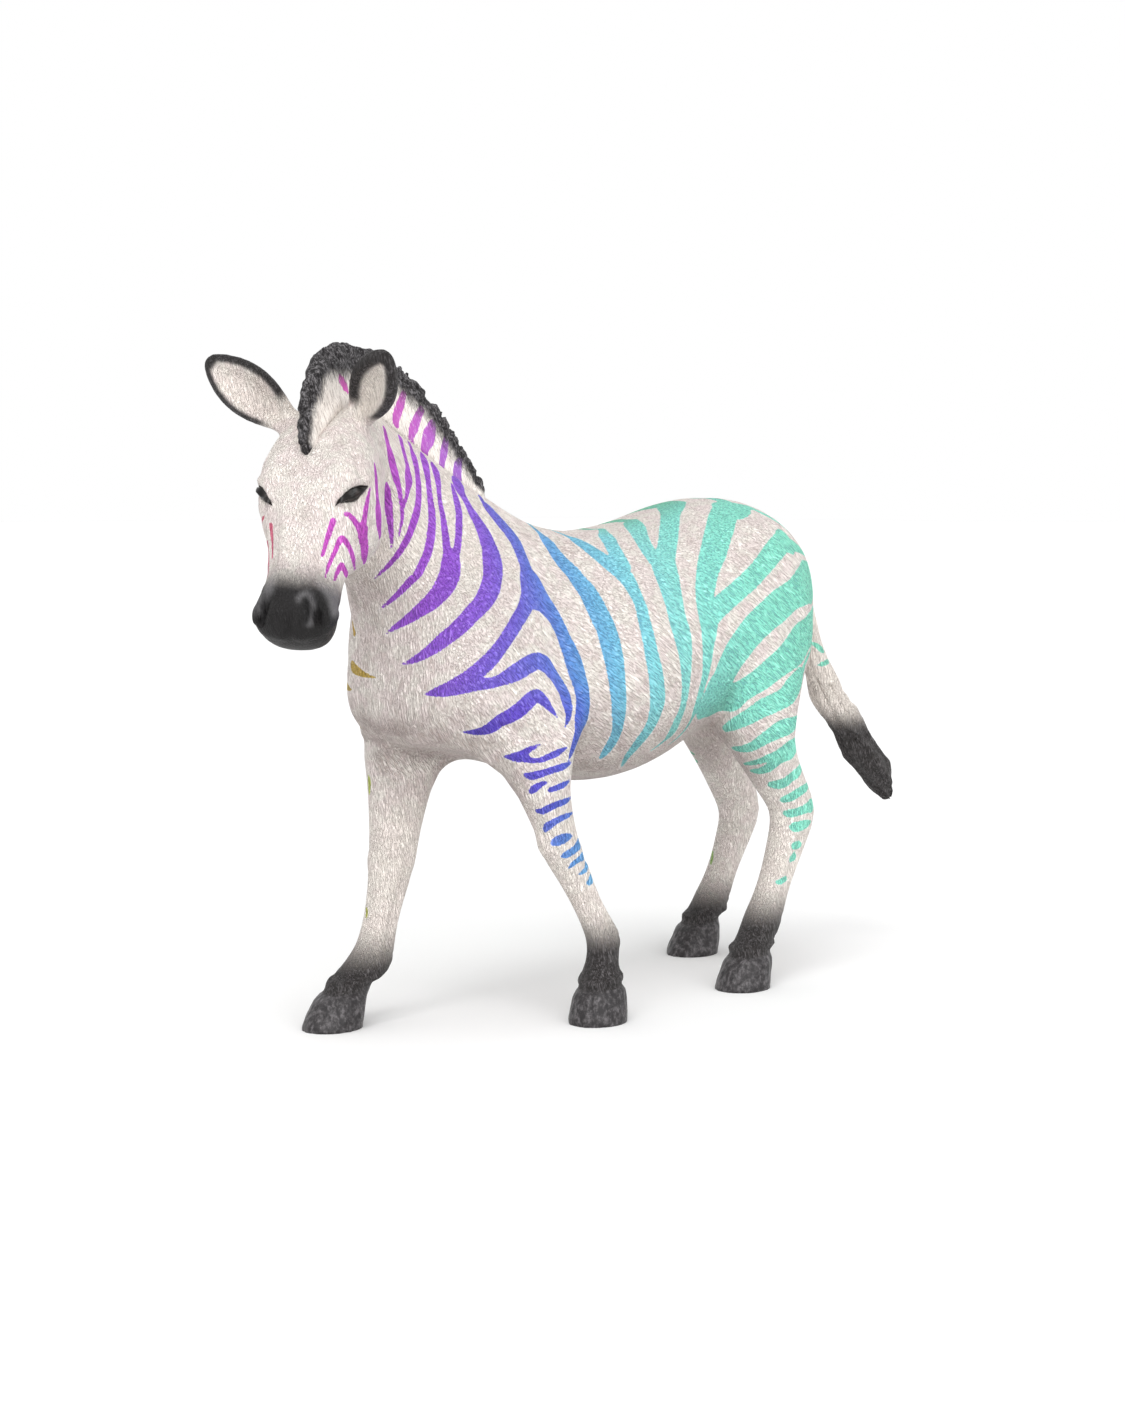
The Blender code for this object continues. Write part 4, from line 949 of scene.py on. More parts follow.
coat_lines = []
for table in (HEAD_STROKES, NECK_STROKES, BODY_STROKES, LEG_STROKES):
    for name, path in table.items():
        places, halves = painted_line(path, coat_surface)
        if name in RUNS_ROUND_THE_REAR:
            places, halves = walked_on(places, halves, RUNS_ROUND_THE_REAR[name], coat_surface)
        coat_lines.append((places, halves))
        if table is LEG_STROKES:
            end = "rear" if name.startswith(("gaskin", "hock", "hind")) else "front"
            other = leg_to_leg(places, LEG_JOINTS[end + "_left_leg"], LEG_JOINTS[end + "_right_leg"])
            other[:, 1] += 1.0
        else:
            other = mirrored(places)
            other[:, 0] += 0.35 * np.sin(other[:, 2] * 0.45 + len(coat_lines))
        if table is HEAD_STROKES:
            other -= OUT_OF_FACE * 1.2
            halves = halves * (0.6 if name.startswith("temple") else 0.9)
        if table is NECK_STROKES:
            clear = straightened(other)[:, 1] > THROAT_CLEAR + 5.5 * ease(66.0, 60.0, other[:, 2])
            other, halves = other[clear], halves[clear]
        if len(other) < 2:
            continue
        other = snapped(other, coat_surface)
        if table in (HEAD_STROKES, NECK_STROKES):
            other, halves = unbroken(other, halves)
        if len(other) < 2:
            continue
        coat_lines.append((other, halves))
        if name in RUNS_OVER_THE_BACK:
            link = np.linspace(places[0], other[0], SPINE_POINTS)
            coat_lines.append((snapped(link, coat_surface), np.full(SPINE_POINTS, halves[0])))
far_lines = []
far_leg_marks = []
for name, path in FAR_MARKS.items():
    places, halves = painted_line(path, coat_surface)
    if len(places) > 1:
        coat_lines.append((places, halves))
        if name not in TAIL_STROKES:
            far_lines.append((places, halves))
        if name in FAR_LEG_HUES:
            far_leg_marks.append((places, halves, FAR_LEG_HUES[name]))
print("lines on the coat", len(coat_lines), "of them far marks", len(far_lines))

# %% [markdown]
# ## Soot and bare skin
# A mask is one number for each point of the coat, kept as an attribute, which the material reads. Soot is the black
# airbrush on muzzle, ears, legs and tail, and it fades over a few millimetres. The muzzle and part of the face are
# smooth skin with little hair. Vertex colours would do too, but a mask can be sharpened and mixed in the shader.

# %% Soot and bare skin
FADE_OUT = -1.2
MUZZLE_START, MUZZLE_FADE = 19.4, 4.6
SOOT_TOP, SOOT_FADE = 13.4, 6.6
BARE_FACE = 0.35


def stripe_field(points, lines):
    """How deep in a stroke each point lies, in millimetres, negative outside."""
    field = np.full(len(points), FADE_OUT)
    for places, halves in lines:
        reach = halves.max() - FADE_OUT
        near = np.flatnonzero(np.all((points > places.min(axis=0) - reach) & (points < places.max(axis=0) + reach),
                                     axis=1))
        if not len(near):
            continue
        here = points[near]
        best = np.full(len(near), FADE_OUT)
        for index in range(len(places) - 1):
            away, share = to_segment(here, places[index], places[index + 1])
            best = np.maximum(best, halves[index] * (1.0 - share) + halves[index + 1] * share - away)
        field[near] = np.maximum(field[near], best)
    return field


def keep(piece, name, values):
    """Stores one number for each point of a piece."""
    attribute = piece.data.attributes.new(name, "FLOAT", "POINT")
    attribute.data.foreach_set("value", np.asarray(values, dtype=np.float32))


flat = straightened(clay.points)
facing = clay.normals()
on_face = clay.points - POLL
along, to_left = on_face @ DOWN_FACE, on_face @ TO_LEFT
is_head = ease(-48.5, -50.5, flat[:, 0]) * ease(46.0, 50.0, clay.points[:, 2])
low = clay.points[:, 2]
tail_side = ease(41.8, 43.2, clay.points[:, 0]) * ease(5.6, 4.6, np.abs(flat[:, 1] + 1.0))

muzzle = np.clip((along - MUZZLE_START + 0.12 * np.abs(to_left - 1.0)) / MUZZLE_FADE, 0.0, 1.0) * is_head
soot_top = SOOT_TOP + ease(0.0, 5.0, flat[:, 0]) * np.where(flat[:, 1] < 0.0, 1.6, -0.4)
soot_top += ease(0.0, -5.0, flat[:, 0]) * (flat[:, 1] < 0.0) * 2.4
shins = np.clip((soot_top - low) / SOOT_FADE, 0.0, 1.0) * (1.0 - tail_side)
tuft = tail_side * ease(40.0, 33.0, low)
# Painted shade: the nostril pits, from three spots a side and the nostril strokes, are painted near black.
nostril_shade = np.zeros(len(low))
for side in (1.0, -1.0):
    for down, out, left, radius in ((24.6, 3.6, 3.1, 1.0), (25.5, 3.3, 3.4, 1.3), (26.4, 2.7, 3.6, 1.1)):
        from_spot = np.linalg.norm(clay.points - on_head(down, out, left * side), axis=1)
        nostril_shade = np.maximum(nostril_shade, falloff(from_spot, radius))
nostril_shade = np.maximum(nostril_shade, ease(-0.5, 0.3, stripe_field(clay.points, nose_lines)))
# Painted highlights on the muzzle, from their strokes.
sheen = ease(-0.9, 0.3, stripe_field(clay.points, painted_highlight_lines))
smooth_skin = np.maximum(muzzle, BARE_FACE * is_head * ease(0.2, 0.7, facing @ OUT_OF_FACE))
print("share of the coat under soot", float((np.maximum.reduce((muzzle, shins, tuft)) > 0.5).mean().round(3)))

# %% [markdown]
# ## Wash with painted shade, painted light, and the lie of the hair
# The wash is a brown-grey darkening in the hollows: under the belly, on chest and throat, under the jaw and inside
# the legs. It is partly the toy's own wash and partly painted shade, where shade falls. The lie of the hair goes from
# 0 on the trunk, where it runs to the rear, over a slant at the shoulder, to 1 on head and legs, where it hangs. Neck
# and lower legs get a paler tone than the trunk, which is painted light that lifts them out of the lamps' shade.

# %% Wash with painted shade, painted light, and the lie of the hair
# Painted shade, partly the toy's own wash: belly, insides of the legs, jaw, chest and throat.
belly = ease(0.15, -0.75, facing[:, 2]) * ease(26.0, 31.0, low) * (1.0 - is_head) * (1.0 - tail_side)
inner_side = np.sign(flat[:, 1]) * facing[:, 1]
inner_leg = ease(0.1, -0.8, inner_side) * ease(42.0, 34.0, low) * (1.0 - tail_side)
jaw = ease(-0.1, -0.8, facing @ OUT_OF_FACE) * is_head * ease(2.0, 8.0, along)
chest = ease(0.35, 0.85, -facing[:, 0]) * ease(28.0, 40.0, low) * ease(72.0, 58.0, low) * (1.0 - is_head)
chest *= ease(-14.0, -24.0, flat[:, 0])
throat = ease(-44.0, -50.0, flat[:, 0]) * ease(76.0, 64.0, low) * (1.0 - is_head)
wash = np.clip(0.6 * belly + 0.08 * inner_leg + 0.03 * jaw + 0.18 * chest + 0.06 * throat, 0.0, 1.0)
on_limbs = np.maximum(ease(38.0, 31.0, low), ease(0.5, 0.85, np.abs(facing[:, 0])) * ease(70.0, 62.0, low))
on_limbs = np.maximum(on_limbs, np.maximum(is_head, tail_side))
lie_down = np.maximum(on_limbs, 0.5 * ease(-17.0, -26.0, flat[:, 0]))
# Painted light: a paler tone lifts neck and lower legs, less on the right hind leg, out of the lamps' shade.
neck_painted_light = 0.6 * ease(-20.0, -30.0, flat[:, 0]) * ease(58.0, 64.0, low) * (1.0 - is_head)
leg_painted_light = 0.6 * ease(34.0, 24.0, low) * np.where((flat[:, 0] > 8.0) & (flat[:, 1] > 0.0), 0.4, 1.0)
print("share of the coat where hair hangs", float((lie_down > 0.8).mean().round(3)))

# %% [markdown]
# ## Ears and lids
# Each ear has a black rim, broad at the tip. Its inside gets a paler tone, painted light, and darkens towards its foot
# with painted shade, more on the right ear. The ear's outline is a short table of half widths up the ear, and the rim
# is what lies close to it. The lids get a thin dark line like an eyeliner's, along the same lines that were sculpted.

# %% Ears and lids
EAR_REACH = 12.9
EARS = {
    "left_ear": ((-50.57, -7.37, 79.88), (-0.3203, -0.7596, 0.566), (-0.8692, -0.0019, -0.4945)),
    "right_ear": ((-55.26, 0.04, 79.23), (-0.6432, 0.4591, 0.6128), (-0.694, -0.6876, -0.2133)),
}
EAR_OUTLINE = ((-0.2, 1.2), (0.02, 1.5), (0.12, 2.1), (0.22, 2.8), (0.34, 3.35), (0.48, 3.62), (0.6, 3.5), (0.72, 3.1),
               (0.82, 2.5), (0.9, 1.8), (0.96, 1.1), (1.0, 0.5))
rim = np.zeros(len(low))
ear_inside = np.zeros(len(low))
ear_shade = np.zeros(len(low))
for name, frame_of_ear in EARS.items():
    foot, reach_way, cup_way = (np.array(row) for row in frame_of_ear)
    is_left = name == "left_ear"
    across_way = np.cross(reach_way, cup_way)
    offset = clay.points - foot
    reach = offset @ reach_way / EAR_REACH
    across, deep = offset @ across_way, offset @ cup_way
    half = np.interp(reach, *zip(*EAR_OUTLINE))
    in_ear = ease(-0.02, 0.10, reach) * (np.abs(across) < 5.0) * (np.abs(deep) < 3.6) * (reach < 1.2)
    from_edge = np.minimum(half - np.abs(across), (1.0 - reach) * EAR_REACH * 0.85)
    from_edge -= 0.95 * ease(0.2, -0.6, across) * is_left
    rim = np.maximum(rim, in_ear * ease(1.75, 0.8, from_edge) * ease(0.10, 0.30, reach))
    # Painted light lifts the inside of each ear, and painted shade darkens it deep in the cup and towards the foot.
    inside_here = in_ear * ease(-0.1, 0.35, facing @ cup_way) * ease(0.5, 2.2, from_edge)
    ear_inside = np.maximum(ear_inside, inside_here * (1.0 if is_left else 0.5))
    deep_here = ease(4.0, 1.0, np.abs(across)) * ease(0.75, 0.2, reach)
    ear_shade = np.maximum(ear_shade, inside_here * (deep_here if is_left else 0.55 + 0.8 * deep_here))

lid_lines = []
for line, half in ((upper_lid, 0.24), (lower_lid, 0.15)):
    halves = half * np.interp(np.linspace(0.0, 1.0, len(line)), (0.0, 0.3, 0.8, 1.0), (0.5, 1.0, 1.0, 0.7))
    for side in (1.0, -1.0):
        lid_lines.append((np.array([on_head(down, out, left * side) for down, out, left in line]), halves))
print("points in the ears", int((ear_inside > 0.5).sum()), "lid lines", len(lid_lines))

# %% [markdown]
# ## Stripes and colours as masks
# The stripe mask is a distance in millimetres to the nearest edge of a stroke, positive inside, so that the shader can
# draw an edge finer than the mesh. Which colour a stripe has depends on how far forwards it lies, as a share from the
# rump to the muzzle, and on the side. The share is lifted a little at the shoulder and with height on the neck, where
# the colours run slantwise, and the three marks on the right legs have shares of their own.

# %% All the masks
FRONT_OF_RAINBOW, REAR_OF_RAINBOW = -62.0, 40.0
forward_share = (flat[:, 0] - REAR_OF_RAINBOW) / (FRONT_OF_RAINBOW - REAR_OF_RAINBOW)
at_shoulder = ease(-10.0, -18.0, flat[:, 0]) * ease(-36.0, -29.0, flat[:, 0])
forward_share += 0.03 * ease(24.0, 40.0, low) * ease(50.0, 42.0, low) * at_shoulder
forward_share += 0.0044 * (low - 58.0) * ease(-22.0, -34.0, flat[:, 0]) * (1.0 - is_head)
on_leg_marks = np.zeros(len(low))
for places, halves, hue_share in far_leg_marks:
    here = ease(-0.8, -0.4, stripe_field(clay.points, [(places, halves)]))
    forward_share += (hue_share - forward_share) * here
    on_leg_marks = np.maximum(on_leg_marks, here)
masks = {
    "stripe": stripe_field(clay.points, coat_lines),
    "forwards": np.clip(forward_share, 0.0, 1.0),
    "far_side": np.maximum(ease(-2.0, 2.0, flat[:, 1]), ease(-0.8, -0.4, stripe_field(clay.points, far_lines))),
    "on_spine": ease(6.0, 1.0, np.abs(flat[:, 1])) * ease(0.1, 0.6, facing[:, 2]) * ease(-27.0, -14.0, flat[:, 0]),
    "soot": np.clip(np.maximum.reduce((muzzle, shins, tuft, rim)), 0.0, 1.0),
    # Painted light: a paler tone on ear insides, tail, lower legs and neck.
    "pale": np.maximum.reduce((ear_inside, 0.9 * tail_side, leg_painted_light, neck_painted_light)),
    "horn": horn,
    # Painted shade in the nostril pits.
    "hollow": nostril_shade,
    "liner": stripe_field(clay.points, lid_lines),
    # Painted highlights on the muzzle.
    "sheen": sheen,
    "smooth_skin": smooth_skin,
    # Wash with painted shade in the hollows and the ears, and a touch of grey on the head.
    "wash": np.clip(wash + 0.4 * ear_shade + 0.03 * is_head, 0.0, 1.0),
    "deep": (ease(47.0, 42.0, low) * ease(24.0, 32.0, low) * ease(-13.0, -18.0, flat[:, 0])
             * (1.0 - on_leg_marks)),
    "lie_down": lie_down,
}
print("share of the coat under stripes", float((masks["stripe"] > 0).mean().round(3)))

# %% [markdown]
# ## Seams
# Each mould piece ends where the frame's piece ends, so the skin is cut by the same planes: across the neck, under
# the body for the legs, at the root of the tail and at the foot of each ear. A cut only adds a line of edges, and only
# on faces close to its plane that belong to the right part of the body. Booleans would cut as well, but slower.

# %% Seams
NECK_CUT = ((-65.22, MIDDLE_SIDE, 20.02), (2.76, MIDDLE_SIDE, 109.97))
FRONT_CUT = ((-49.88, MIDDLE_SIDE, 40.25), (2.6, MIDDLE_SIDE, 27.16))
REAR_CUT = ((8.34, MIDDLE_SIDE, 32.9), (58.36, MIDDLE_SIDE, 39.9))
TAIL_CUT = 42.2
EAR_CUT = 0.17
CUT_REACH = 1.5
ROUND_THE_ROOT = 5.0


def upright_plane(ends):
    """A plane through two points of the middle plane, square to it, as a place and a direction."""
    start, end = (np.array(point) for point in ends)
    slope = end - start
    return start, np.array((-slope[2], 0.0, slope[0])) / np.linalg.norm(slope)


def seam_line(mesh, place, direction, chosen):
    """Cuts the chosen faces along a plane and returns the new edges."""
    faces = [face for face in mesh.faces if chosen(face.calc_center_median() / MM)]
    geometry = set(faces)
    for face in faces:
        geometry.update(face.edges)
        geometry.update(face.verts)
    cut = bmesh.ops.bisect_plane(mesh, geom=list(geometry), plane_co=Vector(place) * MM, plane_no=Vector(direction),
                                 dist=0.1 * WELD * MM)
    return [part for part in cut["geom_cut"] if isinstance(part, bmesh.types.BMEdge)]


def near_plane(place, direction, reach):
    """A test for points close to a plane."""
    place, direction = Vector(place), Vector(direction)
    return lambda point: abs((point - place).dot(direction)) < reach


clay.finish()
for name, values in masks.items():
    keep(skin, name, values)
body_mesh = bmesh.new()
body_mesh.from_mesh(skin.data)
seams = set()
cuts = [(*upright_plane(NECK_CUT), lambda point: point.z > 30.0),
        (*upright_plane(FRONT_CUT), lambda point: point.x < 5.0 and point.z < 46.0),
        (*upright_plane(REAR_CUT), lambda point: point.x > 5.0 and not (point.x > 43.0 and abs(point.y) < 5.0)),
        ((TAIL_CUT, 0.0, 0.0), (1.0, 0.0, 0.0),
         lambda point: abs(point.y - 1.5) < ROUND_THE_ROOT and point.z > 50.0)]
for foot, reach_way, _ in EARS.values():
    place = Vector(foot) + Vector(reach_way) * (EAR_CUT * EAR_REACH)
    cuts.append((place, reach_way, lambda point, place=place: (point - place).length < ROUND_THE_ROOT))
for place, direction, allowed in cuts:
    close = near_plane(place, direction, CUT_REACH)
    seams.update(seam_line(body_mesh, place, direction, lambda point: close(point) and allowed(point)))
print("edges on the seams", len(seams))

# %% [markdown]
# ## Gathering the pieces
# Faces are gathered outwards from one face of each piece, up to the seams, and get that piece's number as their
# material slot.

# %% Gathering the pieces
SEEDS = {
    "torso": (0.0, -14.0, 50.0), "head_and_neck": (-55.0, -9.0, 68.0), "front_left_leg": (-11.0, -13.0, 2.0),
    "front_right_leg": (-38.0, 16.0, 2.0), "rear_left_leg": (20.0, -13.0, 2.0), "rear_right_leg": (35.0, 17.0, 2.0),
    "tail": (62.0, -0.5, 28.0), "left_ear": (-54.0, -15.5, 86.0), "right_ear": (-61.5, 5.0, 86.0),
}
body_mesh.faces.ensure_lookup_table()
centres = np.array([face.calc_center_median()[:] for face in body_mesh.faces]) / MM
for face in body_mesh.faces:
    face.material_index = 0
    face.tag = False
for number, (name, seed) in enumerate(SEEDS.items(), start=1):
    first = body_mesh.faces[int(np.argmin(np.linalg.norm(centres - np.array(seed), axis=1)))]
    waiting = [first]
    first.tag = True
    count = 0
    while waiting:
        face = waiting.pop()
        face.material_index = number
        count += 1
        for edge in face.edges:
            if edge in seams:
                continue
            for neighbour in edge.link_faces:
                if not neighbour.tag:
                    neighbour.tag = True
                    waiting.append(neighbour)
    print(name, "faces", count)
print("faces left over", sum(1 for face in body_mesh.faces if not face.tag))
body_mesh.to_mesh(skin.data)
body_mesh.free()

# %% [markdown]
# ## Separating the pieces
# Blender separates the skin by material in one step, and the slots' names say which piece is which.

# %% Separating the pieces
for name in ["left_over"] + list(SEEDS):
    skin.data.materials.append(bpy.data.materials.new("place_of_" + name))
only(skin)
bpy.ops.object.mode_set(mode="EDIT")
bpy.ops.mesh.select_all(action="SELECT")
bpy.ops.mesh.separate(type="MATERIAL")
bpy.ops.object.mode_set(mode="OBJECT")

pieces = {}
for made in list(bpy.context.selected_objects):
    slot = made.data.polygons[0].material_index if len(made.data.materials) > 1 else 0
    title = made.data.materials[slot].name.replace("place_of_", "")
    if title == "left_over":
        bpy.data.objects.remove(made)
        continue
    made.name = title + "_coat"
    made.data.name = made.name
    made.data.materials.clear()
    pieces[title] = made
print("pieces", sorted(pieces))

# %% [markdown]
# ## Caps
# Where a seam was cut, the piece is an open shell. A flat cap closes it, so that each piece is solid like its mould
# part, and its edge is kept sharp, so that the soft shading of the coat doesn't run over onto the cap.

# %% Caps
for title, made in pieces.items():
    mesh = bmesh.new()
    mesh.from_mesh(made.data)
    for face in mesh.faces:
        face.smooth = True
        face.material_index = 0
    open_edges = [edge for edge in mesh.edges if edge.is_boundary]
    for edge in open_edges:
        edge.smooth = False
    caps = bmesh.ops.holes_fill(mesh, edges=open_edges, sides=0)["faces"]
    for face in caps:
        face.smooth = False
    bmesh.ops.triangulate(mesh, faces=caps)
    mesh.to_mesh(made.data)
    triangles = sum(len(face.verts) - 2 for face in mesh.faces)
    still_open = sum(1 for edge in mesh.edges if not edge.is_manifold)
    mesh.free()
    print(title, "triangles", triangles, "caps", len(caps), "open edges", still_open)

# %% [markdown]
# ## Eyes
# Each eye is a glossy dark almond under the lids. A sphere behind an opening would need lids with an even wall, which
# a remeshed skin hasn't got. So the eye is a small lens: a grid between the upper and the lower lid line is laid on
# the coat, raised to a dome, and given a back. The right eye is the left one mirrored across the head.

# %% Eyes
EYE_COLUMNS = 22
EYE_ROWS = 10
EYE_DOME = 0.62
EYE_RIM = 0.05
EYE_BACK = 0.8
EYE_WELD = 0.02
EYE_CREASE = 50.0


def along_path(path, count):
    """Evenly spaced points along a path in the picture."""
    path = rounded_path([(x, y, 1.0) for x, y in path])[:, :2]
    gone = np.concatenate(([0.0], np.cumsum(np.linalg.norm(np.diff(path, axis=0), axis=1))))
    where = np.linspace(0.0, gone[-1], count)
    return np.stack([np.interp(where, gone, path[:, axis]) for axis in range(2)], axis=1)


def eye_lens(title, side):
    """The eye of one side as a closed lens."""
    upper = along_path(UPPER_LID, EYE_COLUMNS)
    lower = along_path(LOWER_LID, EYE_COLUMNS)
    mesh = bmesh.new()
    grid = []
    for column in range(EYE_COLUMNS):
        line = []
        for row in range(EYE_ROWS):
            share = row / (EYE_ROWS - 1)
            x, y = upper[column] * (1.0 - share) + lower[column] * share
            hit, facing_out, _, _ = coat_surface.ray_cast(Vector(EYE_PLACE), Vector(ray_through(x, y)))
            width = 1.0 - (2.0 * column / (EYE_COLUMNS - 1) - 1.0) ** 2
            height = 1.0 - (2.0 * share - 1.0) ** 2
            rise = EYE_RIM + EYE_DOME * math.sqrt(width) * height
            along_here, out_here, left_here = head_share(np.array(hit) + np.array(facing_out) * rise)
            line.append(mesh.verts.new(Vector(on_head(along_here, out_here, left_here * side)) * MM))
        grid.append(line)
    for near_line, far_line in zip(grid, grid[1:]):
        for row in range(EYE_ROWS - 1):
            mesh.faces.new((near_line[row], near_line[row + 1], far_line[row + 1], far_line[row]))
    bmesh.ops.remove_doubles(mesh, verts=mesh.verts, dist=EYE_WELD * MM)
    border = [edge for edge in mesh.edges if edge.is_boundary]
    back = bmesh.ops.extrude_edge_only(mesh, edges=border)["geom"]
    back_points = [part for part in back if isinstance(part, bmesh.types.BMVert)]
    inward = Vector(TO_LEFT * -side - OUT_OF_FACE * 0.5).normalized() * (EYE_BACK * MM)
    for point in back_points:
        point.co += inward
    bmesh.ops.holes_fill(mesh, edges=[edge for edge in mesh.edges if edge.is_boundary], sides=0)
    bmesh.ops.recalc_face_normals(mesh, faces=mesh.faces)
    data = bpy.data.meshes.new(title)
    mesh.to_mesh(data)
    mesh.free()
    eye = bpy.data.objects.new(title, data)
    bpy.context.scene.collection.objects.link(eye)
    only(eye)
    bpy.ops.object.shade_smooth_by_angle(angle=math.radians(EYE_CREASE))
    print(title, "points", len(data.vertices))
    return eye


left_eye = eye_lens("left_eye", 1.0)
right_eye = eye_lens("right_eye", -1.0)

# %% [markdown]
# ## Along the crest
# The mane stands up like a brush, with strands down its flanks and a ragged edge. Each of its points is given two
# numbers, how far along the crest it lies and how high over it, and all that follows works with these.

# %% Along the crest
CREST = np.array(((-21.59, 1.74, 70.0), (-25.04, 1.74, 71.68), (-29.2, 1.74, 74.2), (-34.63, 1.74, 77.74),
                  (-39.85, 1.39, 80.39), (-45.05, 0.06, 82.21), (-50.04, -2.3, 82.28), (-53.97, -4.56, 81.13),
                  (-55.95, -5.7, 79.22), (-57.71, -6.71, 77.04)))
CREST_EDGE = np.array(((-21.12, 1.74, 70.97), (-23.41, 1.74, 74.62), (-26.54, 1.74, 78.41), (-31.07, 1.86, 83.7),
                       (-36.8, 1.89, 87.3), (-43.86, 0.49, 89.2), (-50.71, -2.65, 89.0), (-56.49, -6.0, 87.3),
                       (-59.0, -7.5, 83.1), (-58.9, -7.46, 78.4)))


def along_crest(points):
    """How far along the crest each point lies, its height over the crest, and the height of the edge there."""
    steps = np.linalg.norm(np.diff(CREST, axis=0), axis=1)
    gone = np.concatenate(([0.0], np.cumsum(steps)))
    best = np.full(len(points), 1e9)
    far, height, full = np.zeros(len(points)), np.zeros(len(points)), np.ones(len(points))
    for index in range(len(CREST) - 1):
        away, share = to_segment(points, CREST[index], CREST[index + 1])
        foot_here = (CREST[index + 1] - CREST[index]) * share[:, None]
        rise_here = CREST_EDGE[index] + (CREST_EDGE[index + 1] - CREST_EDGE[index]) * share[:, None]
        rise_here -= CREST[index] + foot_here
        tall = np.linalg.norm(rise_here, axis=1)
        offset = points - CREST[index] - foot_here
        closer = away < best
        best = np.where(closer, away, best)
        far = np.where(closer, gone[index] + steps[index] * share, far)
        height = np.where(closer, np.sum(offset * rise_here, axis=1) / np.maximum(tall, 1e-6), height)
        full = np.where(closer, tall, full)
    return far, height, full


print("height of the mane in mm", np.linalg.norm(CREST_EDGE - CREST, axis=1).round(1))

# %% [markdown]
# ## Form of the mane
# It starts as the frame's mane, remeshed finely. Then come the forelock, the spread of the foot over the groove in the
# neck, strands, lumps and nicks. Hair curves would look finer, but a moulded mane is solid, with the same small lumps.

# %% Form of the mane
MANE_CELL = 0.21
mane = remeshed(("mane",), "mane_hair", MANE_CELL)
hair = Clay(mane)
hair.smooth(2)
hair.push(-0.4 * SWELL)
far, height, full = along_crest(hair.points)
below_edge = full - height
forelock = ease(36.0, 43.0, far)
beside = (hair.points - POLL) @ TO_LEFT
inwards = (forelock * (0.35 * beside + 0.3))[:, None] * TO_LEFT
hair.points += forelock[:, None] * (DOWN_FACE * 2.2 + OUT_OF_FACE * 0.35) - inwards
side = straightened(hair.points)[:, 1]
strand = np.sin(far * 6.6 + 1.4 * np.sin(far * 1.9) + 0.35 * height)
strand += 0.6 * np.sin(far * 10.9 + 2.0 * np.sin(far * 0.8))
clumps = grain(np.stack((far, height * 0.5, side), axis=1), 0.62, 3)
points_of_hair = grain(np.stack((far, height * 0.8, side), axis=1), 0.42, 4)
flank = ease(-0.4, 1.2, height)
hair.push(0.34 * falloff(np.maximum(height - 0.1, 0.0), 1.6) * ease(-1.2, -0.4, height) * ease(43.0, 39.0, far))
hair.push(0.04 * strand * flank)
rough = ease(4.6, 1.2, below_edge)
hair.push(rough * (0.24 * clumps + 0.20 * points_of_hair) + (1.0 - rough) * flank * 0.07 * clumps)
nicks = 0.5 + 0.5 * np.sin(far * 2.1 + 2.2 * np.sin(far * 0.57))
hair.push(-0.35 * ease(0.62, 0.95, nicks) * ease(2.4, 0.4, below_edge) * ease(0.5, 2.5, full))
hair.smooth(1, 0.25)
hair.finish()
mane_surface = hair.surface()
print("mane in mm", far.max().round(1), "along the crest,", full.max().round(1), "tall")

# %% [markdown]
# ## Stripes of the mane
# The neck's stripes go on up the mane, brighter than on the coat, and end in its black edge. So the mane gets the same
# masks as the coat: stripes, place in the row of colours, side, and soot, which reaches deepest in the middle.

# %% Stripes of the mane
MANE_STROKES = {
    "mane_0": ((341, 379, 2.6), (344.5, 385, 2.6), (347, 392, 1.6)),
    "mane_1": ((404, 394, 3), (400, 405, 4.2), (397, 414, 3.8), (396, 421, 3.4), (398, 427, 1.6)),
    "mane_2": ((421, 410, 3.6), (416.5, 420, 4.2), (413, 430, 4.3), (411.5, 438, 2.6), (414, 444, .8)),
    "mane_3": ((432.5, 425, 4.3), (429.5, 434, 6.2), (427, 442, 5.7), (425.3, 449, 4), (427, 456, 1.2)),
    "mane_4": ((446, 439, 2.8), (444.5, 448, 3.7), (443, 457, 3.3), (442, 465, 2.9), (443, 472, 1.9), (445, 478, .5)),
    "mane_5": ((461, 458, 2.2), (458, 467, 4.2), (457.4, 478, 4.4), (459, 487, 3.9), (463, 496, 2.6)),
}
mane_lines = []
for name, path in MANE_STROKES.items():
    places, halves = painted_line(path, mane_surface)
    if len(places) > 2:
        print(name, "at", along_crest(places)[0].mean().round(1), "mm along the crest")
        mane_lines.append((places, halves))
        mane_lines.append((snapped(mirrored(places), mane_surface), halves))
mane_flat = straightened(hair.points)
tip_depth = np.interp(far, (0.0, 4.0, 10.0, 20.0, 27.0, 32.0, 36.0, 40.0, 43.0),
                      (1.2, 2.8, 3.8, 4.4, 5.0, 5.0, 3.6, 2.6, 2.6))
mane_forwards = np.interp(far, (0.0, 8.0, 14.0, 20.0, 27.0, 34.0), (0.66, 0.74, 0.82, 0.90, 0.95, 0.97))
mane_masks = {
    "stripe": stripe_field(hair.points, mane_lines),
    "forwards": mane_forwards,
    "far_side": ease(-0.6, 0.6, mane_flat[:, 1]),
    "soot": np.maximum(np.clip((1.25 - below_edge / tip_depth) / 0.75, 0.0, 1.0), ease(41.0, 42.5, far)),
}
for name, values in mane_masks.items():
    keep(mane, name, values)
only(mane)
bpy.ops.object.shade_smooth()
print("mane faces", len(mane.data.polygons), "stripes", len(mane_lines))

# %% [markdown]
# ## Reckoning with sockets
# Shader maths reads best as an expression. A small class wraps an output socket and overloads the operators, so that
# "1 - mask * 2" adds its own Math nodes. Colours are written as on a screen and turned into a shader's numbers.

# %% Signals


def paint(code):
    """The numbers a shader takes for a colour as it is written on a screen."""
    parts = [int(code[start:start + 2], 16) / 255.0 for start in (1, 3, 5)]
    return tuple(part / 12.92 if part <= 0.04045 else ((part + 0.055) / 1.055) ** 2.4 for part in parts) + (1.0,)


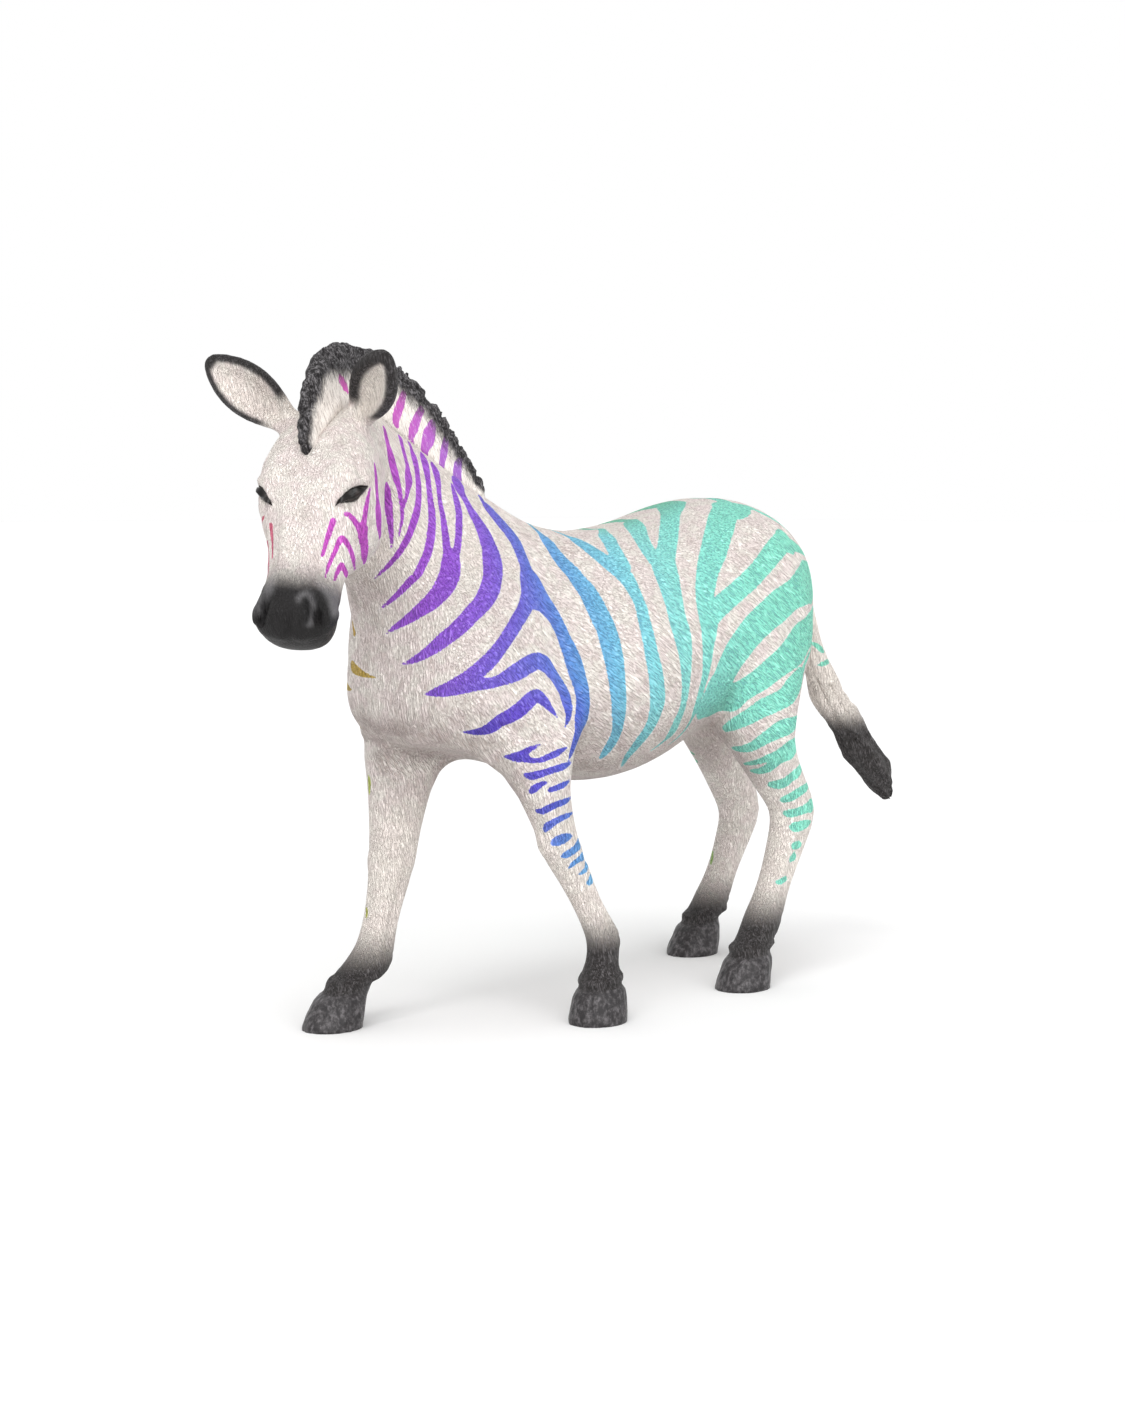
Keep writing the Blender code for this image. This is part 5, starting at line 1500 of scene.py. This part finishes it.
class Signal:
    """An output socket that can be reckoned with."""

    def __init__(self, recipe, socket):
        self.recipe = recipe
        self.socket = socket

    def maths(self, operation, *values):
        return self.recipe.node("ShaderNodeMath", {"operation": operation}, dict(enumerate(values)))

    def __add__(self, other):
        return self.maths("ADD", self, other)

    __radd__ = __add__

    def __mul__(self, other):
        return self.maths("MULTIPLY", self, other)

    __rmul__ = __mul__

    def __sub__(self, other):
        return self.maths("SUBTRACT", self, other)

    def __rsub__(self, other):
        return self.maths("SUBTRACT", other, self)

    def between(self, low, high):
        """0 below low and 1 above high, smooth between. With low above high it falls instead."""
        if low > high:
            return 1.0 - self.between(high, low)
        return self.recipe.node("ShaderNodeMapRange", {"interpolation_type": "SMOOTHSTEP"},
                                {"Value": self, "From Min": low, "From Max": high})


print("white in a shader's numbers", paint("#FFFFFF"))

# %% [markdown]
# ## Recipes
# A recipe holds one material and adds any node in one call: settings first, then values or links for its sockets. It
# also has a method for each mixture that comes back often: masks, noise in millimetres, blends, tints and relief.

# %% Recipes
MATT_SHINE = 0.2


class Recipe:
    """One material, mixed node by node."""

    def __init__(self, name, roughness, coat=0.0, coat_roughness=0.2):
        self.material = bpy.data.materials.new(name)
        self.material.use_nodes = True
        self.nodes = self.material.node_tree.nodes
        self.links = self.material.node_tree.links
        self.shader = self.nodes["Principled BSDF"]
        self.set("Roughness", roughness)
        self.set("Coat Weight", coat)
        self.shader.inputs["Coat Roughness"].default_value = coat_roughness
        self.shader.inputs["Specular IOR Level"].default_value = MATT_SHINE

    def node(self, kind, settings=None, inputs=None, output=0):
        made = self.nodes.new(kind)
        for key, value in (settings or {}).items():
            if key == "stops":
                ramp = made.color_ramp
                while len(ramp.elements) < len(value):
                    ramp.elements.new(0.5)
                for element, (place, colour) in zip(ramp.elements, value):
                    element.position = place
                    element.color = colour
            else:
                setattr(made, key, value)
        for key, value in (inputs or {}).items():
            if isinstance(value, Signal):
                self.links.new(value.socket, made.inputs[key])
            else:
                made.inputs[key].default_value = value
        return Signal(self, made.outputs[output])

    def set(self, socket, value):
        """Feeds one socket of the shader."""
        if isinstance(value, Signal):
            self.links.new(value.socket, self.shader.inputs[socket])
        else:
            self.shader.inputs[socket].default_value = value

    def mask(self, name):
        """A number kept on the points of the piece."""
        return self.node("ShaderNodeAttribute", {"attribute_name": name}, output="Fac")

    def noise(self, size, turn=(0.0, 0.0, 0.0), detail=2.0, roughness=0.5, waves=0.0):
        """Noise whose lumps have the given size in millimetres along three directions, turned and made wavy."""
        place = self.node("ShaderNodeTexCoord", output="Object")
        scaled = self.node("ShaderNodeMapping", {"vector_type": "TEXTURE"},
                           {"Vector": place, "Rotation": [math.radians(angle) for angle in turn],
                            "Scale": [length * MM for length in size]})
        return self.node("ShaderNodeTexNoise", {}, {"Vector": scaled, "Scale": 1.0, "Detail": detail,
                                                    "Roughness": roughness, "Distortion": waves})

    def blend(self, share, first, second):
        """The first colour where the share is 0 and the second where it is 1."""
        return self.node("ShaderNodeMix", {"data_type": "RGBA"}, {0: share, 6: first, 7: second}, output=2)

    def tinted(self, share, colour, tint):
        """A colour multiplied with a tint, by a share."""
        return self.node("ShaderNodeMix", {"data_type": "RGBA", "blend_type": "MULTIPLY"},
                         {0: share, 6: colour, 7: tint}, output=2)

    def relief(self, height, depth, before=None):
        """Relief of the given depth in millimetres, laid over relief that is there already."""
        inputs = {"Height": height, "Distance": depth * MM, "Strength": 1.0}
        if before is not None:
            inputs["Normal"] = before
        return self.node("ShaderNodeBump", {}, inputs, output="Normal")


print("shine of every finish", MATT_SHINE)

# %% [markdown]
# ## Hair of the coat
# The coat is warm off-white vinyl with moulded hair. Between the hairs the ground is darkened, painted shade in the
# grooves, and their crests get a faint painted highlight. Hair runs to the rear on the trunk, slants over the shoulder
# and hangs on head and legs, so there are three stretched noises, and the mask of the hair's lie blends them. Soft
# patches and blotches vary the ground, wash with painted shade darkens the hollows, and painted light, a paler tone
# on ears, neck, tail and lower legs, goes over it. A particle system would give real hairs, but a moulded coat is one
# surface.

# %% Hair of the coat
HAIR_WIDTH = 0.21
coat = Recipe("coat_hair_vinyl", 0.55)
lie = coat.mask("lie_down")
hair_back = coat.noise((1.5, HAIR_WIDTH, HAIR_WIDTH), (0.0, 32.0, 0.0), 2.0, 0.45, 0.7)
hair_slant = coat.noise((1.5, HAIR_WIDTH, HAIR_WIDTH), (0.0, 46.0, 10.0), 2.0, 0.45, 0.7)
hair_hang = coat.noise((1.3, HAIR_WIDTH, HAIR_WIDTH), (0.0, 76.0, 6.0), 2.0, 0.5, 0.8)
lies_back = lie.between(0.35, 0.15)
hangs = lie.between(0.65, 0.85)
hairs = hair_back * lies_back + hair_hang * hangs + hair_slant * (1.0 - lies_back - hangs)
skin_share = coat.mask("smooth_skin")
# Painted shade in the grooves between the hairs and a painted highlight on their crests, from the noise that raises
# them.
hair_groove_shade = hairs.between(0.47, 0.37) * (1.0 - 0.5 * skin_share)
hair_crest_highlight = hairs.between(0.52, 0.68)
patches = coat.noise((5.0, 3.4, 3.4), (20.0, 30.0, 0.0), 3.0, 0.6)
blotches = coat.noise((2.8, 2.2, 1.9), (0.0, 25.0, 30.0), 2.0, 0.5)
wash = (coat.mask("wash") * (0.45 + 1.1 * patches)).between(0.0, 1.0)
base = coat.blend(blotches.between(0.40, 0.60), paint("#FBF4EC"), paint("#F7EAE6"))
base = coat.blend(patches.between(0.52, 0.72) * 0.5, base, paint("#E6D9D3"))
# Wash with painted shade: brown-grey in the hollows.
base = coat.blend(wash * 0.8, base, paint("#A2938F"))
# The painted shade between the hairs and the painted highlight on their crests.
base = coat.blend(hair_groove_shade * (0.30 + 0.4 * patches) * (1.0 - 0.2 * hangs), base, paint("#87756D"))
base = coat.blend(hair_crest_highlight * 0.12, base, paint("#FFFCF8"))
# Painted light: a paler tone lifts ear insides, tail, neck and lower legs, and the groove shade is laid back over it.
pale = coat.mask("pale")
base = coat.blend(pale * 0.85, base, paint("#FFF6EC"))
base = coat.blend(pale * hair_groove_shade * 0.4, base, paint("#8F827A"))
print("nodes so far", len(coat.nodes))

# %% [markdown]
# ## Printed stripes
# The stripes are printed over the hair, so the hair shows through them. Their edge comes from the distance kept on the
# points, roughened by the hairs, and a thin pale line runs along it as in the picture. From the rump to the muzzle the
# colours go over blue to magenta on the near side, and over yellow and orange to red on the far side. Both rows are
# colour ramps, read at the mask that says how far forwards a point lies. The colours are greener on the back, more
# violet on the forelegs, darker with painted shade between the hairs and in the wash, and lighter with a painted
# highlight on the hairs' crests.

# %% Printed stripes
NEAR_RAINBOW = (
    (0.00, "#92EED0"), (0.22, "#98F4DE"), (0.31, "#98F3E4"), (0.37, "#9CF0E8"), (0.44, "#92E6F0"), (0.505, "#7ECAF0"),
    (0.575, "#689CE6"), (0.62, "#707FE4"), (0.66, "#806CE2"), (0.70, "#9568E6"), (0.76, "#A460E4"), (0.84, "#B85CDE"),
    (0.93, "#C858D4"), (1.00, "#D45ACC"),
)
FAR_RAINBOW = (
    (0.00, "#80DDB6"), (0.25, "#84DCA4"), (0.42, "#9AD583"), (0.55, "#BED069"), (0.66, "#CFBF58"), (0.75, "#CFAB52"),
    (0.82, "#CF9350"), (0.90, "#D07C62"), (1.00, "#D96C86"),
)


def rainbow(recipe):
    """A stripe's colour, from the two ramps and the masks for place and side."""
    forwards = recipe.mask("forwards")
    near_hue, far_hue = (
        recipe.node("ShaderNodeValToRGB", {"stops": [(place, paint(code)) for place, code in table]}, {"Fac": forwards})
        for table in (NEAR_RAINBOW, FAR_RAINBOW))
    return recipe.blend(recipe.mask("far_side"), near_hue, far_hue)


BACK_GREEN = paint("#82D9C2")
edge = coat.mask("stripe") + (hairs - 0.5) * 0.34
stripe_share = edge.between(-0.05, 0.07)
halo = edge.between(-0.42, -0.16) * edge.between(0.05, -0.02)
base = coat.blend(halo * 0.25, base, paint("#F8F4F1"))
hue = coat.blend(coat.mask("on_spine") * 0.75, rainbow(coat), BACK_GREEN)
hue = coat.tinted(coat.mask("deep") * 0.6, hue, paint("#C4A6F0"))
# Stripes take the painted shade between the hairs and the painted highlight on their crests too.
hue = coat.tinted(hair_groove_shade * 0.7, hue, paint("#A6A2B4"))
hue = coat.blend(hair_crest_highlight * 0.10, hue, paint("#F0ECFA"))
# Stripes are darkened too by the wash and its painted shade.
hue = coat.tinted(wash * 0.8, hue, paint("#A7A29E"))
colour = coat.blend(stripe_share, base, hue)
print("nodes so far", len(coat.nodes))

# %% [markdown]
# ## Soot, horn and relief
# Soot is a matt airbrush that fades out between the hairs, greyer on the tips of the hair, and almost black and a
# little shiny on the smooth muzzle, where grey painted highlights lie at the nostrils' rims, on the bridge and on the
# cheek. The hooves are worn grey horn. The nostrils, painted near black as painted shade in their pits, and the lids
# are painted last. The moulded hair also stands out of the surface, about a third of a millimetre, and a fine grain
# lies over everything.

# %% Soot, horn and relief
HAIR_DEPTH, HORN_DEPTH, GRAIN_DEPTH = 0.34, 0.12, 0.03
soot = coat.mask("soot")
speckle = coat.noise((0.55, 0.55, 0.55), (0.0, 0.0, 0.0), 3.0, 0.7)
feather = soot.between(0.0, 0.3) * soot.between(1.0, 0.7)
soot_share = (soot + (hairs - 0.5) * 0.5 * feather + (speckle - 0.5) * 0.15 * feather).between(0.0, 1.0)
soot_wear = (hairs * 0.6 + speckle * 0.4).between(0.42, 0.64) * (1.0 - 0.9 * skin_share)
soot_tone = coat.blend(soot_wear, paint("#1C1A1B"), paint("#545153"))
soot_tone = coat.blend(skin_share * soot.between(0.9, 1.0) * 0.7, soot_tone, paint("#0D0C0D"))
# Painted highlights: grey glints over the black of the muzzle.
soot_tone = coat.blend(coat.mask("sheen") * 0.5, soot_tone, paint("#868486"))
colour = coat.blend(soot_share * (0.97 + 0.025 * skin_share), colour, soot_tone)
horn_share = coat.mask("horn")
horn_wear = coat.noise((0.7, 0.7, 0.9), (0.0, 0.0, 0.0), 4.0, 0.7)
horn_tone = coat.blend(horn_wear.between(0.40, 0.85), paint("#2E2C2D"), paint("#7A7678"))
colour = coat.blend(horn_share, colour, horn_tone)
# Painted shade: the nostril pits painted near black.
colour = coat.blend(coat.mask("hollow"), colour, paint("#0E0D0E"))
colour = coat.blend(coat.mask("liner").between(-0.10, 0.12), colour, paint("#1D1817"))
coat.set("Base Color", colour)
coat.set("Roughness", 0.62 - 0.10 * soot_share - 0.18 * horn_share - 0.12 * soot_share * skin_share
         + 0.10 * (patches - 0.5))
standing = hairs.between(0.30, 0.70) * (1.0 - 0.7 * skin_share) * (1.0 - horn_share)
hair_relief = coat.relief(horn_wear * horn_share, HORN_DEPTH, coat.relief(standing, HAIR_DEPTH))
coat.set("Normal", coat.relief(speckle, GRAIN_DEPTH, hair_relief))
print("nodes of the coat", len(coat.nodes))

# %% [markdown]
# ## Mane and eyes
# The mane takes the coat's colours at its foot and black at its edge, with strands between. The eyes are near black,
# with a faint brown cloud inside and a thin hard coat.

# %% Recipes of mane and eyes
brush = Recipe("mane_bristle_vinyl", 0.6)
bristles = brush.noise((1.9, 0.17, 0.17), (0.0, 70.0, 0.0), 3.0, 0.65, 0.6)
lumps = brush.noise((0.5, 0.5, 0.5), (0.0, 0.0, 0.0), 4.0, 0.7)
foot_tone = brush.blend(bristles.between(0.46, 0.68), paint("#F3ECE5"), paint("#B9AFA9"))
bristle_hue = brush.blend(0.08, rainbow(brush), paint("#A8A2B2"))
bristle_hue = brush.tinted(1.0, bristle_hue, paint("#FFF4DC"))
bristle_hue = brush.blend(bristles.between(0.5, 0.7) * 0.3, bristle_hue, paint("#6A4A8E"))
bristle_hue = brush.blend(bristles.between(0.46, 0.32) * 0.5, bristle_hue, paint("#EBDDF2"))
on_stripe = (brush.mask("stripe") + (bristles - 0.5) * 0.3).between(-0.05, 0.09)
foot_tone = brush.blend(on_stripe, foot_tone, bristle_hue)
tip_tone = brush.blend((lumps * 0.5 + bristles * 0.5).between(0.46, 0.64), paint("#1E1C1D"), paint("#7C797B"))
tip_mask = brush.mask("soot")
feather = tip_mask.between(0.0, 0.35) * tip_mask.between(1.0, 0.65)
tip_share = (tip_mask + (bristles - 0.5) * 1.4 * feather).between(0.08, 0.92)
brush.set("Base Color", brush.blend(tip_share, foot_tone, tip_tone))
brush.set("Roughness", 0.52 + 0.25 * lumps)
brush.set("Normal", brush.relief(lumps, 0.10, brush.relief(bristles, 0.12)))

gaze = Recipe("eye_gloss", 0.3, 0.12, 0.08)
depth = gaze.noise((1.2, 1.2, 1.2), (0.0, 0.0, 0.0), 2.0)
gaze.set("Base Color", gaze.blend(depth.between(0.4, 0.7), paint("#0B0908"), paint("#241A17")))
gaze.set("Roughness", 0.26 + 0.12 * depth)
print("nodes of mane and eyes", len(brush.nodes), len(gaze.nodes))

# %% [markdown]
# ## Putting on the finishes
# Each piece gets its material, rides on the one rigid body, and hides the solid of the frame that it stands for,
# whose name it carries. The eyes stand for none: they are added to the head.

# %% Finishes on the pieces
for title, made in pieces.items():
    made.data.materials.append(coat.material)
    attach(made, "root")
    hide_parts(title)
mane.data.materials.append(brush.material)
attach(mane, "root")
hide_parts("mane")
for eye in (left_eye, right_eye):
    eye.data.materials.append(gaze.material)
    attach(eye, "root")

print("pieces with a finish", len(pieces) + 3)

# %% [markdown]
# ## Floor
# The floor is a wide pale sheet, with clouds so faint that they only keep it from looking empty. It isn't part of the
# figure.

# %% Floor
FLOOR_SIZE = 12.0
bpy.ops.object.select_all(action="DESELECT")
bpy.ops.mesh.primitive_plane_add(size=FLOOR_SIZE, location=(0.0, 0.0, 0.0))
floor = bpy.context.active_object
floor.name = "floor"
sheet = Recipe("floor_sheet", 0.9)
clouds = sheet.noise((90.0, 90.0, 90.0)).between(0.3, 0.7)
sheet.set("Base Color", sheet.blend(clouds, paint("#F2F2F2"), paint("#EFEFEF")))
floor.data.materials.append(sheet.material)
print("floor in metres", FLOOR_SIZE)

# %% [markdown]
# ## Sky and lamps
# Two broad lamps, a high one a little left of the camera and a low one a little right of it, with an even sky, give
# the soft light of a product picture, at a level at which a colour comes out about as it is written. Both are suns, so
# that the sheet is lit evenly up to its edge and melts into the white behind it. The sky is white for the camera and
# for reflections, and a little weaker as a light.

# %% Sky and lamps
SKY_LEVEL = 0.82
world = bpy.data.worlds.new("studio")
bpy.context.scene.world = world
world.use_nodes = True
sky = world.node_tree
background = sky.nodes["Background"]
rays = sky.nodes.new("ShaderNodeLightPath")
shown = rays.outputs["Is Camera Ray"]
for kind in ("Is Glossy Ray", "Is Transmission Ray"):
    either = sky.nodes.new("ShaderNodeMath")
    either.operation = "MAXIMUM"
    sky.links.new(shown, either.inputs[0])
    sky.links.new(rays.outputs[kind], either.inputs[1])
    shown = either.outputs[0]
level = sky.nodes.new("ShaderNodeMapRange")
level.inputs["To Min"].default_value = SKY_LEVEL
level.inputs["To Max"].default_value = 1.0
sky.links.new(shown, level.inputs["Value"])
sky.links.new(level.outputs["Result"], background.inputs["Strength"])
background.inputs["Color"].default_value = (1.0, 1.0, 1.0, 1.0)


def sun(name, azimuth, height, strength, spread):
    """A lamp far away, by its azimuth and height in degrees; the spread softens its shadows."""
    data = bpy.data.lights.new(name, "SUN")
    data.energy = strength
    data.angle = math.radians(spread)
    made = bpy.data.objects.new(name, data)
    around, up = math.radians(azimuth), math.radians(height)
    towards = Vector((math.cos(around) * math.cos(up), math.sin(around) * math.cos(up), math.sin(up)))
    made.location = towards
    made.rotation_euler = towards.to_track_quat("Z", "Y").to_euler()
    bpy.context.scene.collection.objects.link(made)
    return made


lamps = [sun("key_lamp", -152.0, 54.0, 1.3, 36.0), sun("front_lamp", -114.0, 18.0, 1.3, 50.0)]
bpy.context.scene.view_settings.view_transform = "Standard"
print("lamps", [lamp.name for lamp in lamps])

# %% [markdown]
# ## Last step
# The dressed figure has to stay as large as the frame. Here the view layer is brought up to date.

# %% Finish
bpy.context.view_layer.update()
